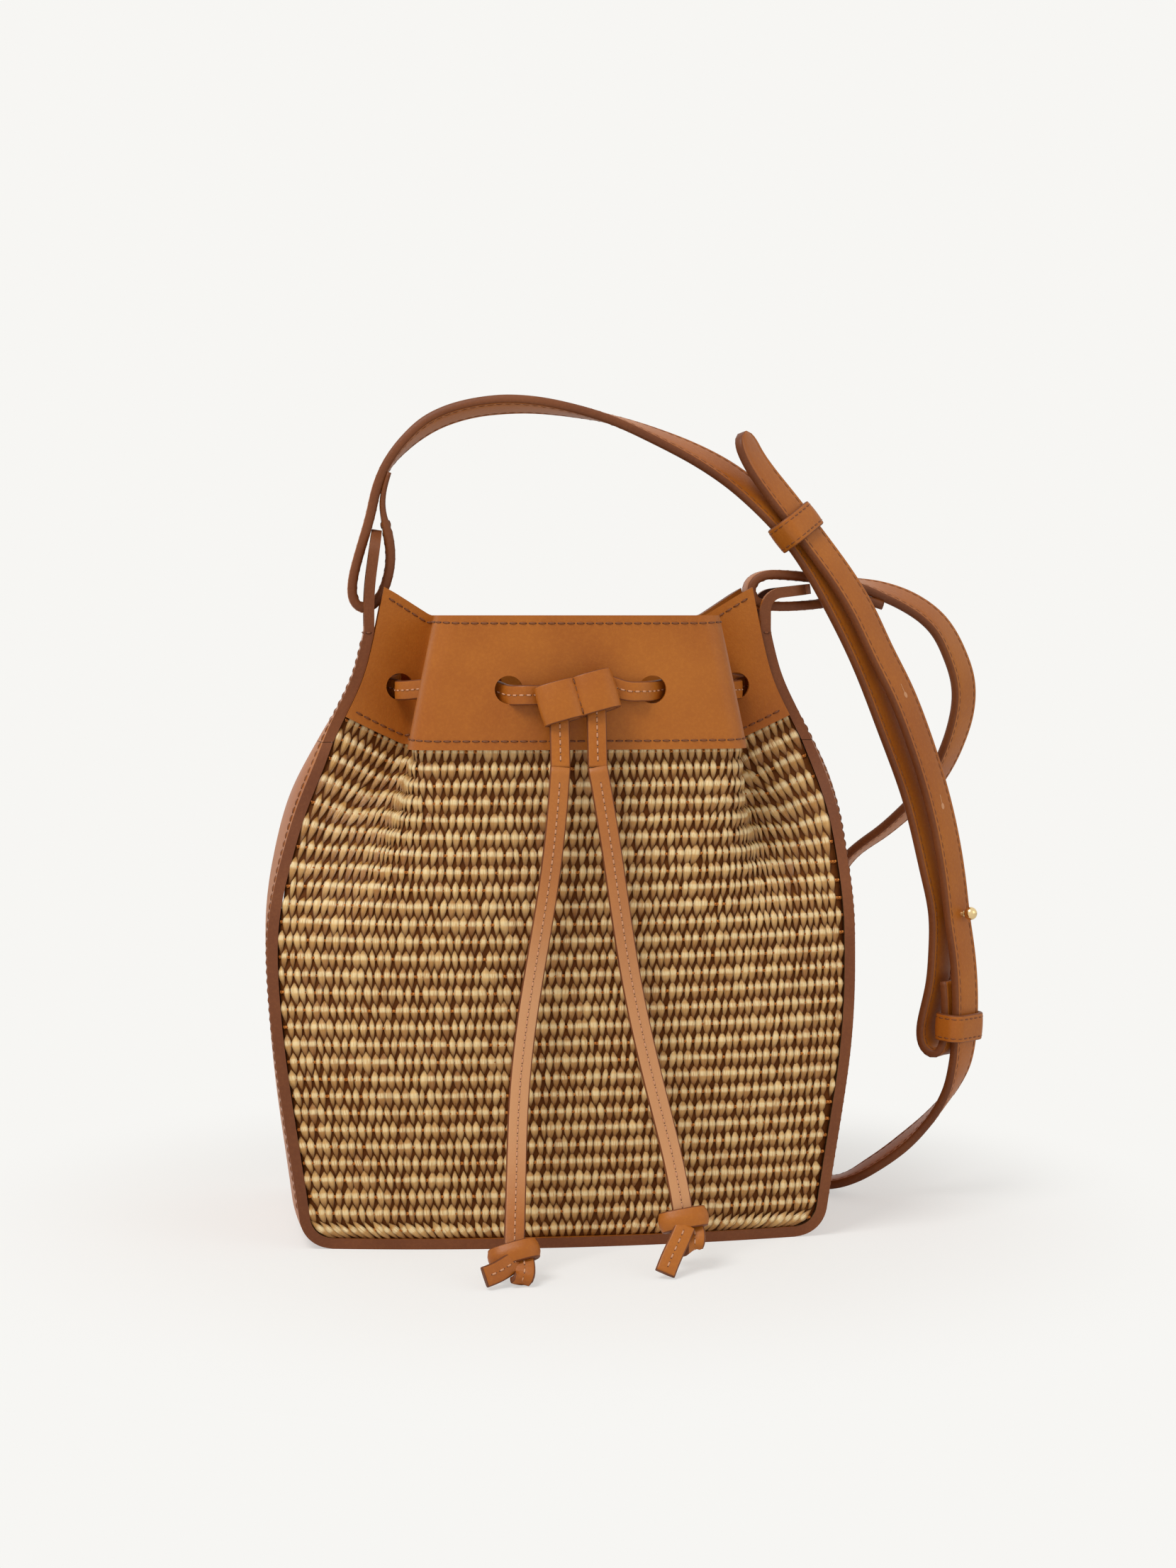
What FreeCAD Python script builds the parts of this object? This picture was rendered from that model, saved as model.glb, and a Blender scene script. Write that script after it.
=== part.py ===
import FreeCAD, Part
import math
import os

from FreeCAD import Vector

# Bucket bag: woven body, leather collar closed by a drawstring, shoulder strap with a ball stud.
# X runs to the right, Y to the back, Z up. The origin is the centre of the base on the floor.
# All sizes are in millimetres.

# Bag body
BASE_WIDTH = 190.0
BASE_DEPTH = 100.0
BASE_BULGE = 7.0
BASE_CORNER = 12.0
WIDEST_WIDTH = 215.0
WIDEST_HEIGHT = 112.0
SHOULDER_WIDTH = 204.6
SHOULDER_HEIGHT = 150.0
SEAM_WIDTH = 181.4
SEAM_HEIGHT = 184.0
NECK_WIDTH = 159.6
NECK_HEIGHT = 208.0
MOUTH_WIDTH = 145.2
MOUTH_HEIGHT = 240.0
TOP_LEAN = 5.0
BELLY_DEPTH = 60.0
COLLAR_DEPTH = 52.0

# Leather side strips, which the tabs carry on above the joint
LEATHER = 3.8
STRIP_WIDTH = 24.0
STRIP_BULGE = 3.5
STRIP_JOINT = 181.0
JOINT_GAP = 0.2
EDGE_SET = 0.8
SEAM_GAP = 0.15

# Woven panels, linings and the board on the base
WEAVE = 2.4
LINING = 0.8
LINING_GAP = 0.4
LINING_CLEARANCE = 2.5
BOARD = 1.8
BOARD_MARGIN = 4.0

# Collars
COLLAR = 2.4
COLLAR_GAP = 0.3
COLLAR_BOTTOM = 180.0
COLLAR_HEIGHT = 48.0
COLLAR_RISE = 10.5
COLLAR_LAP = 5.0
RISE_START = 130.0

# Pleats that the drawstring pulls in
CREASE_AT_SEAM = 59.5
CREASE_AT_MOUTH = 49.5
CREASE_DROP = 3.0
VALLEY_TUCK = 3.0
VALLEY_DEPTH = 5.0
PLEAT_RADIUS = 6.0
PLEAT_START = 112.0

# Punched holes for the drawstring
HOLE_HEIGHT = 201.5
HOLE_RADIUS = 5.0
CENTRE_HOLE_X = 25.8
OUTER_HOLE_X = 63.2
FLANK_HOLE_Y = 26.0

# Tabs that carry the strap
TAB_ROOT = 222.0
LEFT_TAB_REACH = 38.0
RIGHT_TAB_REACH = 30.4
TAB_STEM = 8.0
LEFT_BEND_RADIUS = 100.0
LEFT_BEND = 8.0
RIGHT_BEND_RADIUS = 6.5
RIGHT_BEND = 83.0
TAB_END = 10.0
SLOT_WIDTH = 17.0
SLOT_START = 1.5
SLOT_BRIDGE = 7.0

# Drawstring, slider and tails
LACE_WIDTH = 7.2
LACE = 2.2
LACE_STAND = 2.0
LACE_REST = 0.7
SLIDER_X = 3.0
SLIDER_Y = -62.2
SLIDER_Z = 198.6
SLIDER_HEIGHT = 12.0
SLIDER_WALL = 1.6
SLIDER_PLAY = 0.4
LOOP_WIDTH = 14.6
LOOP_PITCH = 13.2
SLIDER_TILT = 12.0
SLIDER_ROLL = 9.0
STUB_LENGTH = 23.0
FOLD_RISE = 6.6
TAIL_GAP = 1.5
KNOT_SIZE = (8.5, 6.0, 6.2)

# Shoulder strap
STRAP_WIDTH = 13.5
STRAP = 3.4
HINGE_HEIGHT = 232.5
TIP_RADIUS = 6.75
KEEPER_WALL = 1.8
KEEPER_WIDTH = 10.5
KEEPER_PLAY = 0.8
UPPER_ROOM = 2.6
LOWER_ROOM = 1.3
STUD_BALL = 2.5
STUD_POST = 1.3
STUD_HEAD = 3.6
STUD_HEAD_THICKNESS = 1.0
STUD_RING = 0.7
STUD_SEAT = 0.2
BUTTON_HOLE = 1.5
BUTTON_SLIT = 7.0
SLIT_WIDTH = 0.6
BUTTON_PITCH = 42.0

# Where the strap was laid out: the places of the tabs that the routes below are drawn from
ROUTE_LEFT_TAB = -72.9
ROUTE_RIGHT_TAB = 74.3
ROUTE_HALF_DEPTH = 50.0
ROUTE_HINGE = 232.5


def mix(a, b, share):
    """A point or a number between a and b."""
    if isinstance(a, tuple):
        return tuple(mix(p, q, share) for p, q in zip(a, b))
    return a + (b - a) * share


def ease(share):
    """A smooth step from 0 to 1."""
    share = min(max(share, 0.0), 1.0)
    return share * share * (3.0 - 2.0 * share)


def glide(at, stations):
    """A smooth curve through (position, value) stations, level beyond both ends."""
    if at <= stations[0][0]:
        return stations[0][1]
    if at >= stations[-1][0]:
        return stations[-1][1]
    slopes = [(b[1] - a[1]) / (b[0] - a[0]) for a, b in zip(stations, stations[1:])]
    inner = [0.0 if s * t <= 0 else 2 * s * t / (s + t) for s, t in zip(slopes, slopes[1:])]
    tangents = [slopes[0]] + inner + [slopes[-1]]
    for i in range(len(slopes)):
        (low, start), (high, end) = stations[i], stations[i + 1]
        if at <= high:
            break
    span = high - low
    t = (at - low) / span
    return (
        start * (1 + 2 * t) * (1 - t) ** 2
        + tangents[i] * span * t * (1 - t) ** 2
        + end * t * t * (3 - 2 * t)
        + tangents[i + 1] * span * t * t * (t - 1)
    )


def unit(vector):
    return vector * (1.0 / vector.Length)


def grid_surface(grid):
    """A bicubic surface that follows a grid of points."""
    degree = 3
    rows, columns = len(grid), len(grid[0])

    def knots(count):
        spans = count - degree
        return [float(k) for k in range(spans + 1)], [degree + 1] + [1] * (spans - 1) + [degree + 1]

    row_knots, row_mults = knots(rows)
    column_knots, column_mults = knots(columns)
    surface = Part.BSplineSurface()
    surface.buildFromPolesMultsKnots(
        grid, row_mults, column_mults, row_knots, column_knots, False, False, degree, degree
    )
    return surface


def ruled_face(one, other):
    """The face of straight lines between two curves that have the same knots."""
    surface = Part.BSplineSurface()
    surface.buildFromPolesMultsKnots(
        [one.getPoles(), other.getPoles()], [2, 2], one.getMultiplicities(),
        [0.0, 1.0], one.getKnots(), False, False, 1, one.Degree
    )
    return surface.toShape()


def sheet_solid(outer, inner):
    """A closed solid between two grids of points, with ruled faces round its border."""
    skins = [grid_surface(outer), grid_surface(inner)]
    faces = [skin.toShape() for skin in skins]
    u0, u1, v0, v1 = skins[0].bounds()
    for place in (u0, u1):
        faces.append(ruled_face(skins[0].uIso(place), skins[1].uIso(place)))
    for place in (v0, v1):
        faces.append(ruled_face(skins[0].vIso(place), skins[1].vIso(place)))
    return closed(faces)


def closed(faces):
    """The solid inside a set of faces that share their edges."""
    shell = Part.Shell(faces)
    shell.sewShape()
    solid = Part.Solid(shell)
    if solid.Volume < 0:
        solid.reverse()
    return solid


def mirrored(shape, normal):
    """The same shape on the other side of the middle plane."""
    return shape.mirror(Vector(0, 0, 0), normal)


# The bag's outline


def centre_x(z):
    """The middle of the bag: its top leans a little to the right of its base."""
    return glide(z, [(0, 0.0), (PLEAT_START * 0.9, 0.0), (SHOULDER_HEIGHT * 1.15, TOP_LEAN)])


def half_width(z):
    """Half the width over the outsides of the side strips."""
    widths = [
        (0.0, BASE_WIDTH),
        (WIDEST_HEIGHT, WIDEST_WIDTH),
        (SHOULDER_HEIGHT, SHOULDER_WIDTH),
        (SEAM_HEIGHT, SEAM_WIDTH),
        (NECK_HEIGHT, NECK_WIDTH),
        (MOUTH_HEIGHT, MOUTH_WIDTH),
    ]
    return glide(z, widths) / 2


def strip_half(z):
    """Half the width of a side strip, from front edge to back edge."""
    widths = [
        (0.0, BASE_DEPTH),
        (WIDEST_HEIGHT * 0.55, BASE_DEPTH * 1.04),
        (WIDEST_HEIGHT, BASE_DEPTH * 0.86),
        (SHOULDER_HEIGHT * 0.97, BASE_DEPTH * 0.62),
        (STRIP_JOINT, STRIP_WIDTH * 1.15),
        (STRIP_JOINT + COLLAR_RISE, STRIP_WIDTH),
    ]
    return glide(z, widths) / 2


def front_depth(z):
    """How far the middle of the front stands from the middle of the bag."""
    depths = [
        (0.0, BASE_DEPTH / 2 + BASE_BULGE - 1.0),
        (WIDEST_HEIGHT * 0.6, BELLY_DEPTH),
        (WIDEST_HEIGHT, BELLY_DEPTH),
        (COLLAR_BOTTOM, COLLAR_DEPTH + 1.0),
        (HOLE_HEIGHT, COLLAR_DEPTH),
        (MOUTH_HEIGHT, COLLAR_DEPTH - 2.0),
    ]
    return glide(z, depths)


def corner_centre():
    """Where the bottom corner's bend starts on the base."""
    return half_width(BASE_CORNER) - BASE_CORNER


def inside_half_width(z):
    """Half the width between the insides of the side strips, round the bottom corners too."""
    if z >= BASE_CORNER:
        slope = half_width(z + 0.5) - half_width(z - 0.5)
        return half_width(z) - LEATHER * math.sqrt(1.0 + slope * slope)
    reach = BASE_CORNER - LEATHER
    return corner_centre() + math.sqrt(max(reach**2 - (BASE_CORNER - z) ** 2, 0.0))


def crease_x(z):
    """The vertical edge of the centre panel, where the pleat turns in."""
    top = COLLAR_BOTTOM + COLLAR_HEIGHT
    return mix(CREASE_AT_SEAM, CREASE_AT_MOUTH, (z - COLLAR_BOTTOM) / (top - COLLAR_BOTTOM))


def pleat(z):
    """How deep the pleat is: 0 on the plain body, 1 in the collar."""
    return ease((z - PLEAT_START) / (COLLAR_BOTTOM + COLLAR_LAP - PLEAT_START))


# The plan line of the front has a corner at the pleat's valley, at the centre panel's edge and
# beside the middle. Counts are the points on the line before each corner and round it.
LINE_COUNTS = (6, 6, 3)
CORNER_COUNT = 6
MIDDLE_COUNT = 2
BELLY_POWER = 2.4
PLAIN_SHARES = (0.80, 0.58, 0.28)
PLAIN_RADII = (26.0, 24.0, 24.0)


def half_line(z):
    """The plan line of the front from the right seam to the middle, at one height."""
    width = inside_half_width(z) - SEAM_GAP
    seam_depth = strip_half(z) - EDGE_SET
    depth = front_depth(z)

    def plain(share):
        return (share * width, -seam_depth - (depth - seam_depth) * (1 - share**BELLY_POWER))

    crease = crease_x(z)
    pleated = [
        (crease - VALLEY_TUCK, -VALLEY_DEPTH),
        (crease, CREASE_DROP - depth),
        (crease / 2, -depth),
    ]
    share = pleat(z)
    corners = [mix(plain(s), p, share) for s, p in zip(PLAIN_SHARES, pleated)]
    radii = [mix(wide, PLEAT_RADIUS, share) for wide in PLAIN_RADII[:2]] + [PLAIN_RADII[2]]
    turn = (-corners[-1][0], corners[-1][1])
    points = [(width, -seam_depth)]
    last = points[0]
    stops = corners + [turn]
    for i, corner in enumerate(corners):
        before = math.dist(corner, last if i == 0 else corners[i - 1])
        after = math.dist(corner, stops[i + 1])
        trim = min(radii[i], 0.48 * before, 0.48 * after)
        start = mix(corner, last if i == 0 else corners[i - 1], trim / before)
        end = mix(corner, stops[i + 1], trim / after)
        points += [mix(last, start, k / LINE_COUNTS[i]) for k in range(1, LINE_COUNTS[i] + 1)]
        for k in range(1, CORNER_COUNT + 1):
            t = k / CORNER_COUNT
            points.append(mix(mix(start, corner, t), mix(corner, end, t), t))
        last = end
    middle = (0.0, last[1])
    points += [mix(last, middle, k / MIDDLE_COUNT) for k in range(1, MIDDLE_COUNT + 1)]
    return points


HALF_COLUMNS = sum(LINE_COUNTS) + len(LINE_COUNTS) * CORNER_COUNT + MIDDLE_COUNT + 1


def column_rise(column, z):
    """How much higher a row of the weave lies towards the seam than in the middle."""
    share = max(0.0, 1.0 - column / LINE_COUNTS[0])
    return share * COLLAR_RISE * ease((z - RISE_START) / (COLLAR_BOTTOM - RISE_START))


def front_grid(rows):
    """Points of the front's outer surface: one row for each height, from left seam to right."""
    grid = []
    for z in rows:
        half = []
        for column in range(HALF_COLUMNS):
            height = z + column_rise(column, z)
            x, y = half_line(height)[column]
            half.append((x, y, height))
        left = [Vector(centre_x(h) - x, y, h) for x, y, h in half]
        right = [Vector(centre_x(h) + x, y, h) for x, y, h in half]
        grid.append(left + right[-2::-1])
    return grid


def raised(grid, height):
    """The grid moved outwards along its normals, its side edges and its ends kept flat."""
    result = []
    last_row, last_column = len(grid) - 1, len(grid[0]) - 1
    for i, row in enumerate(grid):
        moved = []
        for j, point in enumerate(row):
            across = row[min(j + 1, last_column)] - row[max(j - 1, 0)]
            along = grid[min(i + 1, last_row)][j] - grid[max(i - 1, 0)][j]
            normal = across.cross(along)
            if j in (0, last_column):
                normal.x = 0.0
            if i in (0, last_row):
                normal.z = 0.0
            moved.append(point + unit(normal) * height)
        result.append(moved)
    return result


def front_sheet(rows, low, high):
    """A sheet of the front between two heights over its outer surface."""
    grid = front_grid(rows)
    return sheet_solid(raised(grid, high), raised(grid, low))


def corner_rows(start):
    """Heights round the inside of the bottom corner, from the base's top face up."""
    reach = BASE_CORNER - LEATHER
    rows = [BASE_CORNER - reach * math.cos(math.radians(a)) for a in (0, 20, 40, 60, 80)]
    return [z for z in rows if z >= start - 0.001] + [BASE_CORNER + 3.0]


def upright_rows(low, high, step):
    count = max(2, round((high - low) / step))
    return [mix(low, high, k / count) for k in range(count + 1)]


# The front's own pieces, which the back repeats


def woven_panel():
    rows = corner_rows(LEATHER)
    return front_sheet(rows + upright_rows(rows[-1] + 6.0, COLLAR_BOTTOM + COLLAR_LAP, 8.0), -WEAVE, 0.0)


def lining():
    top = -WEAVE - LINING_GAP
    rows = upright_rows(BASE_CORNER, COLLAR_BOTTOM - LINING_CLEARANCE, 9.0)
    return front_sheet(rows, top - LINING, top)


def hole_places():
    """Each punched hole of the front collar's right half: a point on its axis and the axis."""
    middle = centre_x(HOLE_HEIGHT)
    crease = crease_x(HOLE_HEIGHT)
    return [
        (Vector(middle + CENTRE_HOLE_X, -front_depth(HOLE_HEIGHT), HOLE_HEIGHT), Vector(0, 1, 0)),
        (Vector(middle + crease, -FLANK_HOLE_Y, HOLE_HEIGHT), Vector(1, 0, 0)),
        (Vector(middle + OUTER_HOLE_X, -strip_half(HOLE_HEIGHT), HOLE_HEIGHT), Vector(0, 1, 0)),
    ]


def collar():
    rows = upright_rows(COLLAR_BOTTOM, COLLAR_BOTTOM + COLLAR_HEIGHT, 6.0)
    shape = front_sheet(rows, COLLAR_GAP, COLLAR_GAP + COLLAR)
    reach = 9.0
    middle = centre_x(HOLE_HEIGHT)
    punches = []
    for place, axis in hole_places():
        for side in (1, -1):
            spot = Vector(middle + side * (place.x - middle), place.y, place.z)
            punches.append(Part.makeCylinder(HOLE_RADIUS, 2 * reach, spot - axis * reach, axis))
    return shape.cut(punches)


# Side strips, tabs and base


def strip_bulge(z):
    """How far the middle of a side strip stands out past its edges."""
    bulges = [
        (0.0, STRIP_BULGE),
        (WIDEST_HEIGHT * 0.4, STRIP_BULGE * 0.85),
        (WIDEST_HEIGHT * 0.9, STRIP_BULGE * 0.35),
        (SHOULDER_HEIGHT * 1.08, STRIP_BULGE * 1.1),
        (STRIP_JOINT, STRIP_BULGE * 0.6),
        (STRIP_JOINT + COLLAR_RISE, 0.0),
    ]
    return glide(z, bulges)


ACROSS = 12


def strip_solid(stations):
    """A strip of leather from stations: outer point, outward normal, half width and bulge."""
    skins = []
    for depth in (0.0, -LEATHER):
        grid = []
        for point, normal, half, bulge in stations:
            shares = [2.0 * k / ACROSS - 1.0 for k in range(ACROSS + 1)]
            row = [
                point + normal * (depth + bulge * (1 - s * s)) + Vector(0, s * half, 0)
                for s in shares
            ]
            grid.append(row)
        skins.append(grid)
    return sheet_solid(skins[0], skins[1])


def strip_stations(side, heights):
    """Stations up one side of the bag."""
    stations = []
    for i, z in enumerate(heights):
        point = Vector(centre_x(z) + side * half_width(z), 0, z)
        step = 1.0
        ahead = centre_x(z + step) + side * half_width(z + step)
        normal = unit(Vector(step, 0, side * (point.x - ahead))) * side
        normal.z = abs(normal.z) * (1 if side * (point.x - ahead) > 0 else -1)
        if i == len(heights) - 1 or z == heights[0]:
            normal = Vector(side, 0, 0)
        stations.append((point, normal, strip_half(z), strip_bulge(z)))
    return stations


def gusset(side):
    """A side strip from the base round the bottom corner to the joint."""
    stations = []
    for angle in (90, 75, 60, 45, 30, 15, 3):
        a = math.radians(angle)
        normal = Vector(side * math.cos(a), 0, -math.sin(a))
        hub = Vector(side * corner_centre(), 0, BASE_CORNER)
        z = BASE_CORNER * (1 - math.sin(a))
        stations.append((hub + normal * BASE_CORNER, normal, strip_half(z), strip_bulge(z) * math.cos(a) ** 2))
    heights = upright_rows(BASE_CORNER + 3.0, STRIP_JOINT, 8.0)
    return strip_solid(stations + strip_stations(side, heights))


def tab_path(side):
    """The middle line of a tab above its root: points, tangents, lengths and lengths left."""
    reach = RIGHT_TAB_REACH if side > 0 else LEFT_TAB_REACH
    radius = RIGHT_BEND_RADIUS if side > 0 else LEFT_BEND_RADIUS
    bend = math.radians(RIGHT_BEND if side > 0 else LEFT_BEND)
    root = Vector(centre_x(TAB_ROOT) + side * (half_width(TAB_ROOT) - LEATHER / 2), 0, TAB_ROOT)
    count = round(reach)
    path = []
    for k in range(count + 1):
        length = reach * k / count
        arc = min(max(length - TAB_STEM, 0.0) / radius, bend)
        run = max(length - TAB_STEM - radius * bend, 0.0)
        tangent = Vector(math.sin(arc), 0, math.cos(arc))
        turn = Vector(radius * (1 - math.cos(arc)), 0, radius * math.sin(arc))
        spot = root + Vector(0, 0, min(length, TAB_STEM)) + turn + tangent * run
        path.append((spot, tangent, length, reach - length))
    return path


def tab(side):
    """A tab: it carries the side strip on to its bar tack, then stands free with a slot."""
    heights = upright_rows(STRIP_JOINT + JOINT_GAP, TAB_ROOT - 4.0, 5.0)
    stations = strip_stations(side, heights)
    slot = []
    for spot, tangent, length, left in tab_path(side):
        normal = Vector(tangent.z, 0, -tangent.x) * side
        rounding = math.sqrt(max(1.0 - max(0.0, 1.0 - left / TAB_END) ** 2, 0.09))
        stations.append((spot + normal * (LEATHER / 2), normal, STRIP_WIDTH / 2 * rounding, 0.0))
        inside = min(length - SLOT_START, left - SLOT_BRIDGE)
        if inside > -0.001:
            share = min(1.0, (inside + 0.6) / (SLOT_WIDTH / 4))
            half = SLOT_WIDTH / 2 * math.sqrt(1.0 - (1.0 - share) ** 2)
            slot.append((spot + normal * LEATHER * 1.5, normal, half, 0.0))
    return strip_solid(stations).cut(slot_cutter(slot))


def slot_cutter(stations):
    """The space of a tab's slot, thicker than the leather on both faces."""
    grids = []
    for depth in (0.0, -3 * LEATHER):
        grid = []
        for point, normal, half, _ in stations:
            row = [point + normal * depth + Vector(0, s * half, 0) for s in (-1, -0.5, 0, 0.5, 1)]
            grid.append(row)
        grids.append(grid)
    return sheet_solid(grids[0], grids[1])


def base_panel():
    """The flat leather base, its front and back edges bowed out."""
    end = corner_centre()
    depth = BASE_DEPTH / 2
    bow = depth + BASE_BULGE
    corners = [Vector(-end, -depth, 0), Vector(end, -depth, 0), Vector(end, depth, 0), Vector(-end, depth, 0)]
    edges = [
        Part.Arc(corners[0], Vector(0, -bow, 0), corners[1]).toShape(),
        Part.LineSegment(corners[1], corners[2]).toShape(),
        Part.Arc(corners[2], Vector(0, bow, 0), corners[3]).toShape(),
        Part.LineSegment(corners[3], corners[0]).toShape(),
    ]
    return Part.Face(Part.Wire(edges)).extrude(Vector(0, 0, LEATHER))


def base_board():
    """A stiffening board that lies on the base between the linings."""
    length = 2 * (corner_centre() - BOARD_MARGIN)
    depth = BASE_DEPTH - 2 * (EDGE_SET + WEAVE + LINING + LINING_GAP + 1.5)
    box = Part.makeBox(length, depth, BOARD, Vector(-length / 2, -depth / 2, LEATHER))
    uprights = [e for e in box.Edges if abs(e.tangentAt(e.FirstParameter).z) > 0.9]
    return box.makeFillet(BOARD_MARGIN, uprights)


# Flat bands: straps and laces


def band_frames(stations, step):
    """Points, tangents and width directions along a band, from stations with width hints."""
    curve = Part.BSplineCurve()
    curve.interpolate(Points=[Vector(*s[:3]) for s in stations])
    places = [curve.parameter(Vector(*s[:3])) for s in stations]
    count = max(8, round(curve.length() / step))
    frames = []
    for k in range(count + 1):
        place = curve.parameterAtDistance(curve.length() * k / count, curve.FirstParameter)
        place = min(max(place, curve.FirstParameter), curve.LastParameter)
        hint = Vector(*[glide(place, [(p, s[3][c]) for p, s in zip(places, stations)]) for c in range(3)])
        tangent = unit(curve.tangent(place)[0])
        across = unit(hint - tangent * hint.dot(tangent))
        frames.append((curve.value(place), tangent, across))
    return frames


def band_solid(frames, width, thickness):
    """A flat band along the frames."""
    rails = []
    for side, face in ((1, 1), (-1, 1), (-1, -1), (1, -1)):
        rail = []
        for point, tangent, across in frames:
            normal = tangent.cross(across)
            rail.append(point + across * (side * width / 2) + normal * (face * thickness / 2))
        rails.append(rail)
    corners = [[rail[0], rail[-1]] for rail in rails]
    curves = []
    for rail in rails:
        curve = Part.BSplineCurve()
        curve.interpolate(Points=rail, Parameters=[float(k) for k in range(len(rail))])
        curves.append(curve)
    faces = [ruled_face(curves[k], curves[(k + 1) % 4]) for k in range(4)]
    for end in (0, 1):
        loop = [c[end] for c in corners]
        faces.append(Part.Face(Part.makePolygon(loop + [loop[0]])))
    return closed(faces)


def frame_at(frames, distance):
    """The frame at a length along the band."""
    run = 0.0
    for here, there in zip(frames, frames[1:]):
        step = (there[0] - here[0]).Length
        if run + step >= distance:
            share = (distance - run) / step
            point = here[0] + (there[0] - here[0]) * share
            return (point, here[1], here[2])
        run += step
    return frames[-1]


def length_to(frames, place):
    """The length along the band to the point nearest a place."""
    run = 0.0
    best = (1e9, 0.0)
    for here, there in zip(frames, frames[1:]):
        best = min(best, ((here[0] - place).Length, run))
        run += (there[0] - here[0]).Length
    return best[1]


def placed(shape, frame):
    """A shape drawn with X across the band, Y along its normal and Z along it, moved to a frame."""
    point, tangent, across = frame
    normal = tangent.cross(across)
    matrix = FreeCAD.Matrix(
        across.x, normal.x, tangent.x, point.x,
        across.y, normal.y, tangent.y, point.y,
        across.z, normal.z, tangent.z, point.z,
        0, 0, 0, 1,
    )
    copy = shape.copy()
    copy.Placement = FreeCAD.Placement(matrix)
    return copy


# Drawstring


def leg_frame():
    """The down and forward directions of the slider and of the lace inside it."""
    tilt = math.radians(SLIDER_TILT)
    return Vector(0, -math.sin(tilt), -math.cos(tilt)), Vector(0, -math.cos(tilt), math.sin(tilt))


LEG_SPACING = LACE + SLIDER_WALL + 2 * SLIDER_PLAY


def leg_x(side):
    return SLIDER_X + side * LOOP_PITCH / 2


def lace_leg(side):
    """The lace from behind the slider over its back wall and down through one loop."""
    down, forward = leg_frame()
    centre = Vector(leg_x(side), SLIDER_Y, SLIDER_Z)
    lift = side * LOOP_PITCH / 2 * math.sin(math.radians(SLIDER_ROLL))
    top = -(FOLD_RISE + lift + LEG_SPACING / 2 - LACE / 2)
    back = centre - forward * LEG_SPACING
    middle = centre - forward * (LEG_SPACING / 2)
    radius = LEG_SPACING / 2
    path = [back + down * s for s in (2.0, 0.0, top / 2)]
    for angle in (0, 30, 60, 90, 120, 150, 180):
        a = math.radians(angle)
        path.append(middle + down * (top - radius * math.sin(a)) - forward * (radius * math.cos(a)))
    path += [centre + down * s for s in (top / 2, 0.0, STUB_LENGTH / 2, STUB_LENGTH)]
    stations = [(p.x, p.y, p.z, (1, 0, 0)) for p in path]
    return band_solid(band_frames(stations, 0.8), LACE_WIDTH, LACE)


def run_points():
    """The lace's line in plan, in and out of the six holes on the right, front to back."""
    middle = centre_x(HOLE_HEIGHT)
    depth = front_depth(HOLE_HEIGHT) + COLLAR_GAP
    crease = crease_x(HOLE_HEIGHT)
    outside = -depth - COLLAR - LACE / 2
    leg_y = outside - LACE_REST
    seam = strip_half(HOLE_HEIGHT) - EDGE_SET
    slope = (seam - VALLEY_DEPTH) / (inside_half_width(HOLE_HEIGHT) - crease + VALLEY_TUCK)
    outer_y = -seam + slope * (inside_half_width(HOLE_HEIGHT) - OUTER_HOLE_X) - COLLAR / 2
    front = [
        (CENTRE_HOLE_X - 5.0, outside - LACE_STAND + 0.6),
        (CENTRE_HOLE_X, -depth - COLLAR / 2 + 0.4),
        (CENTRE_HOLE_X + 5.2, -depth + LACE / 2 + LACE_STAND + 2.2),
        (CENTRE_HOLE_X + 12.0, -depth + 12.0),
        (crease - 9.0, -FLANK_HOLE_Y - 9.0),
        (crease, -FLANK_HOLE_Y),
        (crease + 6.0, -FLANK_HOLE_Y + 6.5),
        (OUTER_HOLE_X + 0.8, outer_y - 5.4),
        (OUTER_HOLE_X, outer_y),
        (OUTER_HOLE_X + 0.6, outer_y + 5.4),
    ]
    return middle, leg_y, outside, front


def drawstring_run():
    """The flat lace: a ring through all twelve holes, open at the slider, with both legs."""
    middle, leg_y, outside, front = run_points()
    turn = [(front[-1][0] + 1.2, 0.0)]
    side = front + turn + [(x, -y) for x, y in reversed(front)]
    back = [(0.0, -outside + LACE_STAND)]
    loop = [(x + middle, y) for x, y in side + back]
    loop += [(middle - x, y) for x, y in reversed(side)]
    start = [(leg_x(1) - 1.0, leg_y), (leg_x(1) + 4.0, leg_y), (loop[0][0] - 3.0, loop[0][1] - 0.2)]
    end = [(loop[-1][0] + 3.0, loop[-1][1] - 0.2), (leg_x(-1) - 4.0, leg_y), (leg_x(-1) + 1.0, leg_y)]
    stations = [(x, y, HOLE_HEIGHT, (0, 0, 1)) for x, y in start + loop + end]
    ring = band_solid(band_frames(stations, 1.2), LACE_WIDTH, LACE)
    return ring.fuse([lace_leg(-1), lace_leg(1)]).removeSplitter()


def rounded_block(width, depth, height, radius):
    """A block with rounded upright edges, centred on the origin."""
    box = Part.makeBox(width, depth, height, Vector(-width / 2, -depth / 2, -height / 2))
    uprights = [e for e in box.Edges if abs(e.tangentAt(e.FirstParameter).z) > 0.9]
    return box.makeFillet(radius, uprights)


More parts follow.
